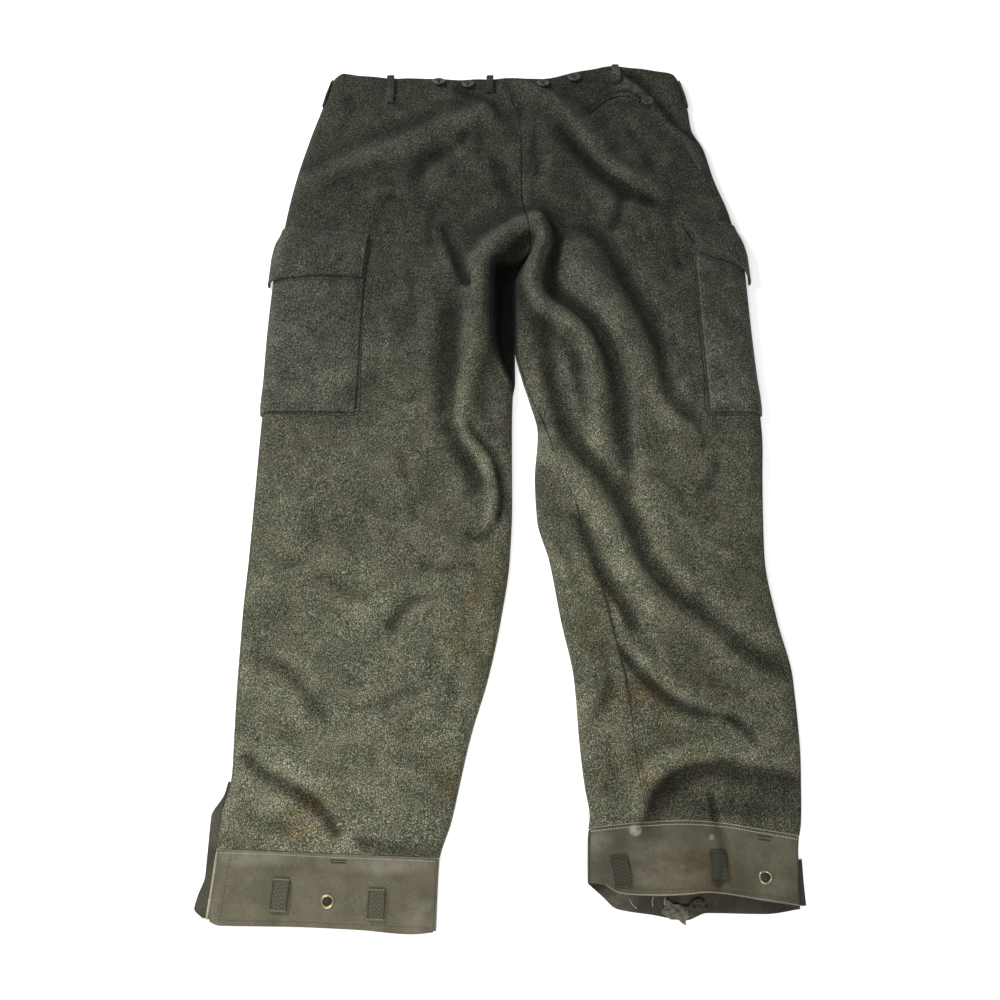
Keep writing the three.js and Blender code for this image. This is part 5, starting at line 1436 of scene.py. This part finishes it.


# Piped edges, dark cords that paint shadow lines along seams, pocket and flap edges and loop sides, loop ends,
# lint and loose ends
PIPING = [
    ([CUFF_LEFT], [(-289.5, 85), (-292, 50), (-295, 17)], 1.5, 0.5),
    (
        [CUFF_RIGHT],
        [(92, 106), (142, 111.5), (189, 113.5), (226, 111.5), (262, 105.8), (309, 98.5)],
        0.7, 0.1,
    ),
    (
        [CUFF_RIGHT],
        [(106, 52), (118, 44.2), (156, 41.2), (188, 42.2), (210, 44), (268, 36.6), (308, 30.6)],
        0.6, 0.1,
    ),
]
# Dark cords that paint shadow lines along the seat seam, the right inseam, the hip pocket mouth and beside its
# button, and along the pocket and flap edges.
SHADOW_CORDS = [
    ([LEFT, RIGHT], [(7.4, 1055), (7.6, 1050), (16, 1011), (25, 987), (27, 960)], 0.7, -0.45),
    (
        [LEFT],
        [(-165.4, 744), (-165.6, 660), (-165.4, 572), (-168, 569.8), (-220, 570), (-272, 570.5)],
        1.0, -0.3,
    ),
    ([POCKET_LEFT], [(-272, 743), (-240, 745), (-212, 746), (-169, 745.5)], 1.0, -0.3),
    ([LEFT], [(-157.5, 808), (-160.5, 780), (-164, 750)], 0.9, -0.4),
    ([LEFT], [(-256, 821.5), (-234, 820.5), (-191, 816), (-160, 811)], 0.8, -0.3),
    ([RIGHT], [(234, 741), (237, 690), (240, 630), (241, 572), (246, 569.5), (292, 569.5)], 1.0, -0.3),
    ([RIGHT], [(223, 829), (229, 814), (237, 797), (243, 783)], 1.7, 0.0),
    ([POCKET_RIGHT], [(244, 781), (258, 774), (278, 767), (290, 757), (295, 749)], 2.0, 0.0),
    ([POCKET_RIGHT, RIGHT], [(238, 780), (240, 700), (242, 640), (245, 574)], 0.9, -0.1),
    ([RIGHT], [(226, 832), (250, 831.5), (278, 830)], 0.8, -0.3),
    (
        [RIGHT, "front_right"],
        [(89, 448), (112, 368), (126.5, 300), (135, 260), (142.5, 199), (146, 150), (147, 114)],
        0.8, 0.15,
    ),
    (
        [RIGHT],
        [(111, 996), (124, 1010), (139, 1021.5), (157, 1028.5), (171, 1028.5), (181, 1021.5)],
        1.0, -0.3,
    ),
    ([RIGHT], [(181, 1024), (179, 1014), (185, 1004), (195, 998), (204, 1001)], 1.3, 0.0),
    ([RIGHT], [(184, 1026), (195, 1020), (204, 1010), (207, 1001)], 1.0, 0.0),
]
add_piece("piping", joined([cord(*row) for row in PIPING]), pale_canvas)
# Painted shadow lines in dark thread colour.
add_piece("shadow_cords", joined([cord(*row) for row in SHADOW_CORDS]), dark_thread)
ends, sides = {CUFF_LEFT: [], CUFF_RIGHT: []}, []
for name, (cuff, path) in TAPE_LOOPS.items():
    start, end = (np.array(point, float) for point in path)
    along = unit(end - start)
    across = np.array([-along[1], along[0]])
    for at in (start + along * 1.2, end - along * 1.2):
        ends[cuff].append(cord([name, cuff], [at - across * 8.8, at, at + across * 8.8], 1.1, 0.5, 0.8))
    # Dark cords along both sides of each loop paint its shadow lines.
    for turn in (-1, 1):
        offset = across * turn * 7.9
        sides.append(cord([name], [start + offset, (start + end) / 2 + offset, end + offset], 0.75, 0.2, 0.8))
add_piece("loop_ends_left", joined(ends[CUFF_LEFT]), worn_tape)
add_piece("loop_ends_right", joined(ends[CUFF_RIGHT]), dark_canvas)
add_piece("loop_side_shadows", joined(sides), dark_canvas)
LOOSE = [
    ([LEFT], [(-168, 108.6), (-165.4, 110.4), (-162.6, 110.2)], 0.55, 0.6),
    ([LEFT], [(-153, 111), (-149.5, 113.6), (-147.6, 112.2), (-147, 115.2)], 0.4, 0.8),
    (["cuff_front_right"], [(131, 38), (134, 33), (139, 28)], 0.4, 1.2),
    (["cuff_front_right"], [(156, 40), (154.4, 35), (155.2, 30)], 0.4, 1.2),
    (["cuff_front_right"], [(168.4, 40), (166.8, 35), (167.6, 30)], 0.4, 1.2),
]
add_piece("loose_threads", joined([cord(*row, 0.5) for row in LOOSE]), pale_thread)

# ---------- Floor, light and camera ----------
FLOOR = 3.0
FLOOR_GAP = 0.0002


def flat_floor():
    mesh = bpy.data.meshes.new("floor")
    corners = [(-FLOOR, -FLOOR), (FLOOR, -FLOOR), (FLOOR, FLOOR), (-FLOOR, FLOOR)]
    mesh.from_pydata([(x, y, -FLOOR_GAP) for x, y in corners], [], [(0, 1, 2, 3)])
    ink = Ink("pale floor", Roughness=0.9, Specular_IOR_Level=0.2)
    ink.shader.inputs["Base Color"].default_value = (0.9, 0.9, 0.9, 1)
    ink.shader.inputs["Emission Color"].default_value = (1, 1, 1, 1)
    ink.shader.inputs["Emission Strength"].default_value = 0.4
    mesh.materials.append(ink.material)
    floor = bpy.data.objects.new("floor", mesh)
    bpy.context.scene.collection.objects.link(floor)


def soft_light(name, at, towards, size, power):
    data = bpy.data.lights.new(name, "AREA")
    data.shape = "DISK"
    data.size = size
    data.energy = power
    light = bpy.data.objects.new(name, data)
    light.location = at
    way = np.array(towards, float) - np.array(at, float)
    light.rotation_euler = direction(way)
    bpy.context.scene.collection.objects.link(light)


def direction(way):
    return Vector(way).to_track_quat("-Z", "Y").to_euler()


CAMERA_ELEVATION = math.radians(70)
CAMERA_DISTANCE = 1.309
CAMERA_TARGET = (0.0, 470.0, 0.0)
LENS = 41.04
SENSOR = 36.0


def main_camera():
    """Camera 70 degrees above the floor, looking at a point 470 mm above the lowest hem."""
    target = to_row(np.array(CAMERA_TARGET))
    back = np.array([0.0, -math.cos(CAMERA_ELEVATION), math.sin(CAMERA_ELEVATION)])
    data = bpy.data.cameras.new("camera")
    data.lens = LENS
    data.sensor_width = SENSOR
    data.clip_start = 0.01
    camera = bpy.data.objects.new("camera", data)
    camera.location = target + back * CAMERA_DISTANCE
    camera.rotation_euler = direction(-back)
    bpy.context.scene.collection.objects.link(camera)
    bpy.context.scene.camera = camera


main_camera()
flat_floor()
soft_light("key", (-1.15, 0.75, 1.15), (0.0, 0.0, 0.0), 0.55, 24)
soft_light("front", (-0.2, -1.6, 1.6), (0.0, -0.2, 0.0), 1.0, 26)
world = bpy.context.scene.world or bpy.data.worlds.new("world")
bpy.context.scene.world = world
world.use_nodes = True
world.node_tree.nodes["Background"].inputs[0].default_value = (1, 1, 1, 1)
world.node_tree.nodes["Background"].inputs[1].default_value = 0.34
bpy.context.scene.view_settings.view_transform = "Standard"
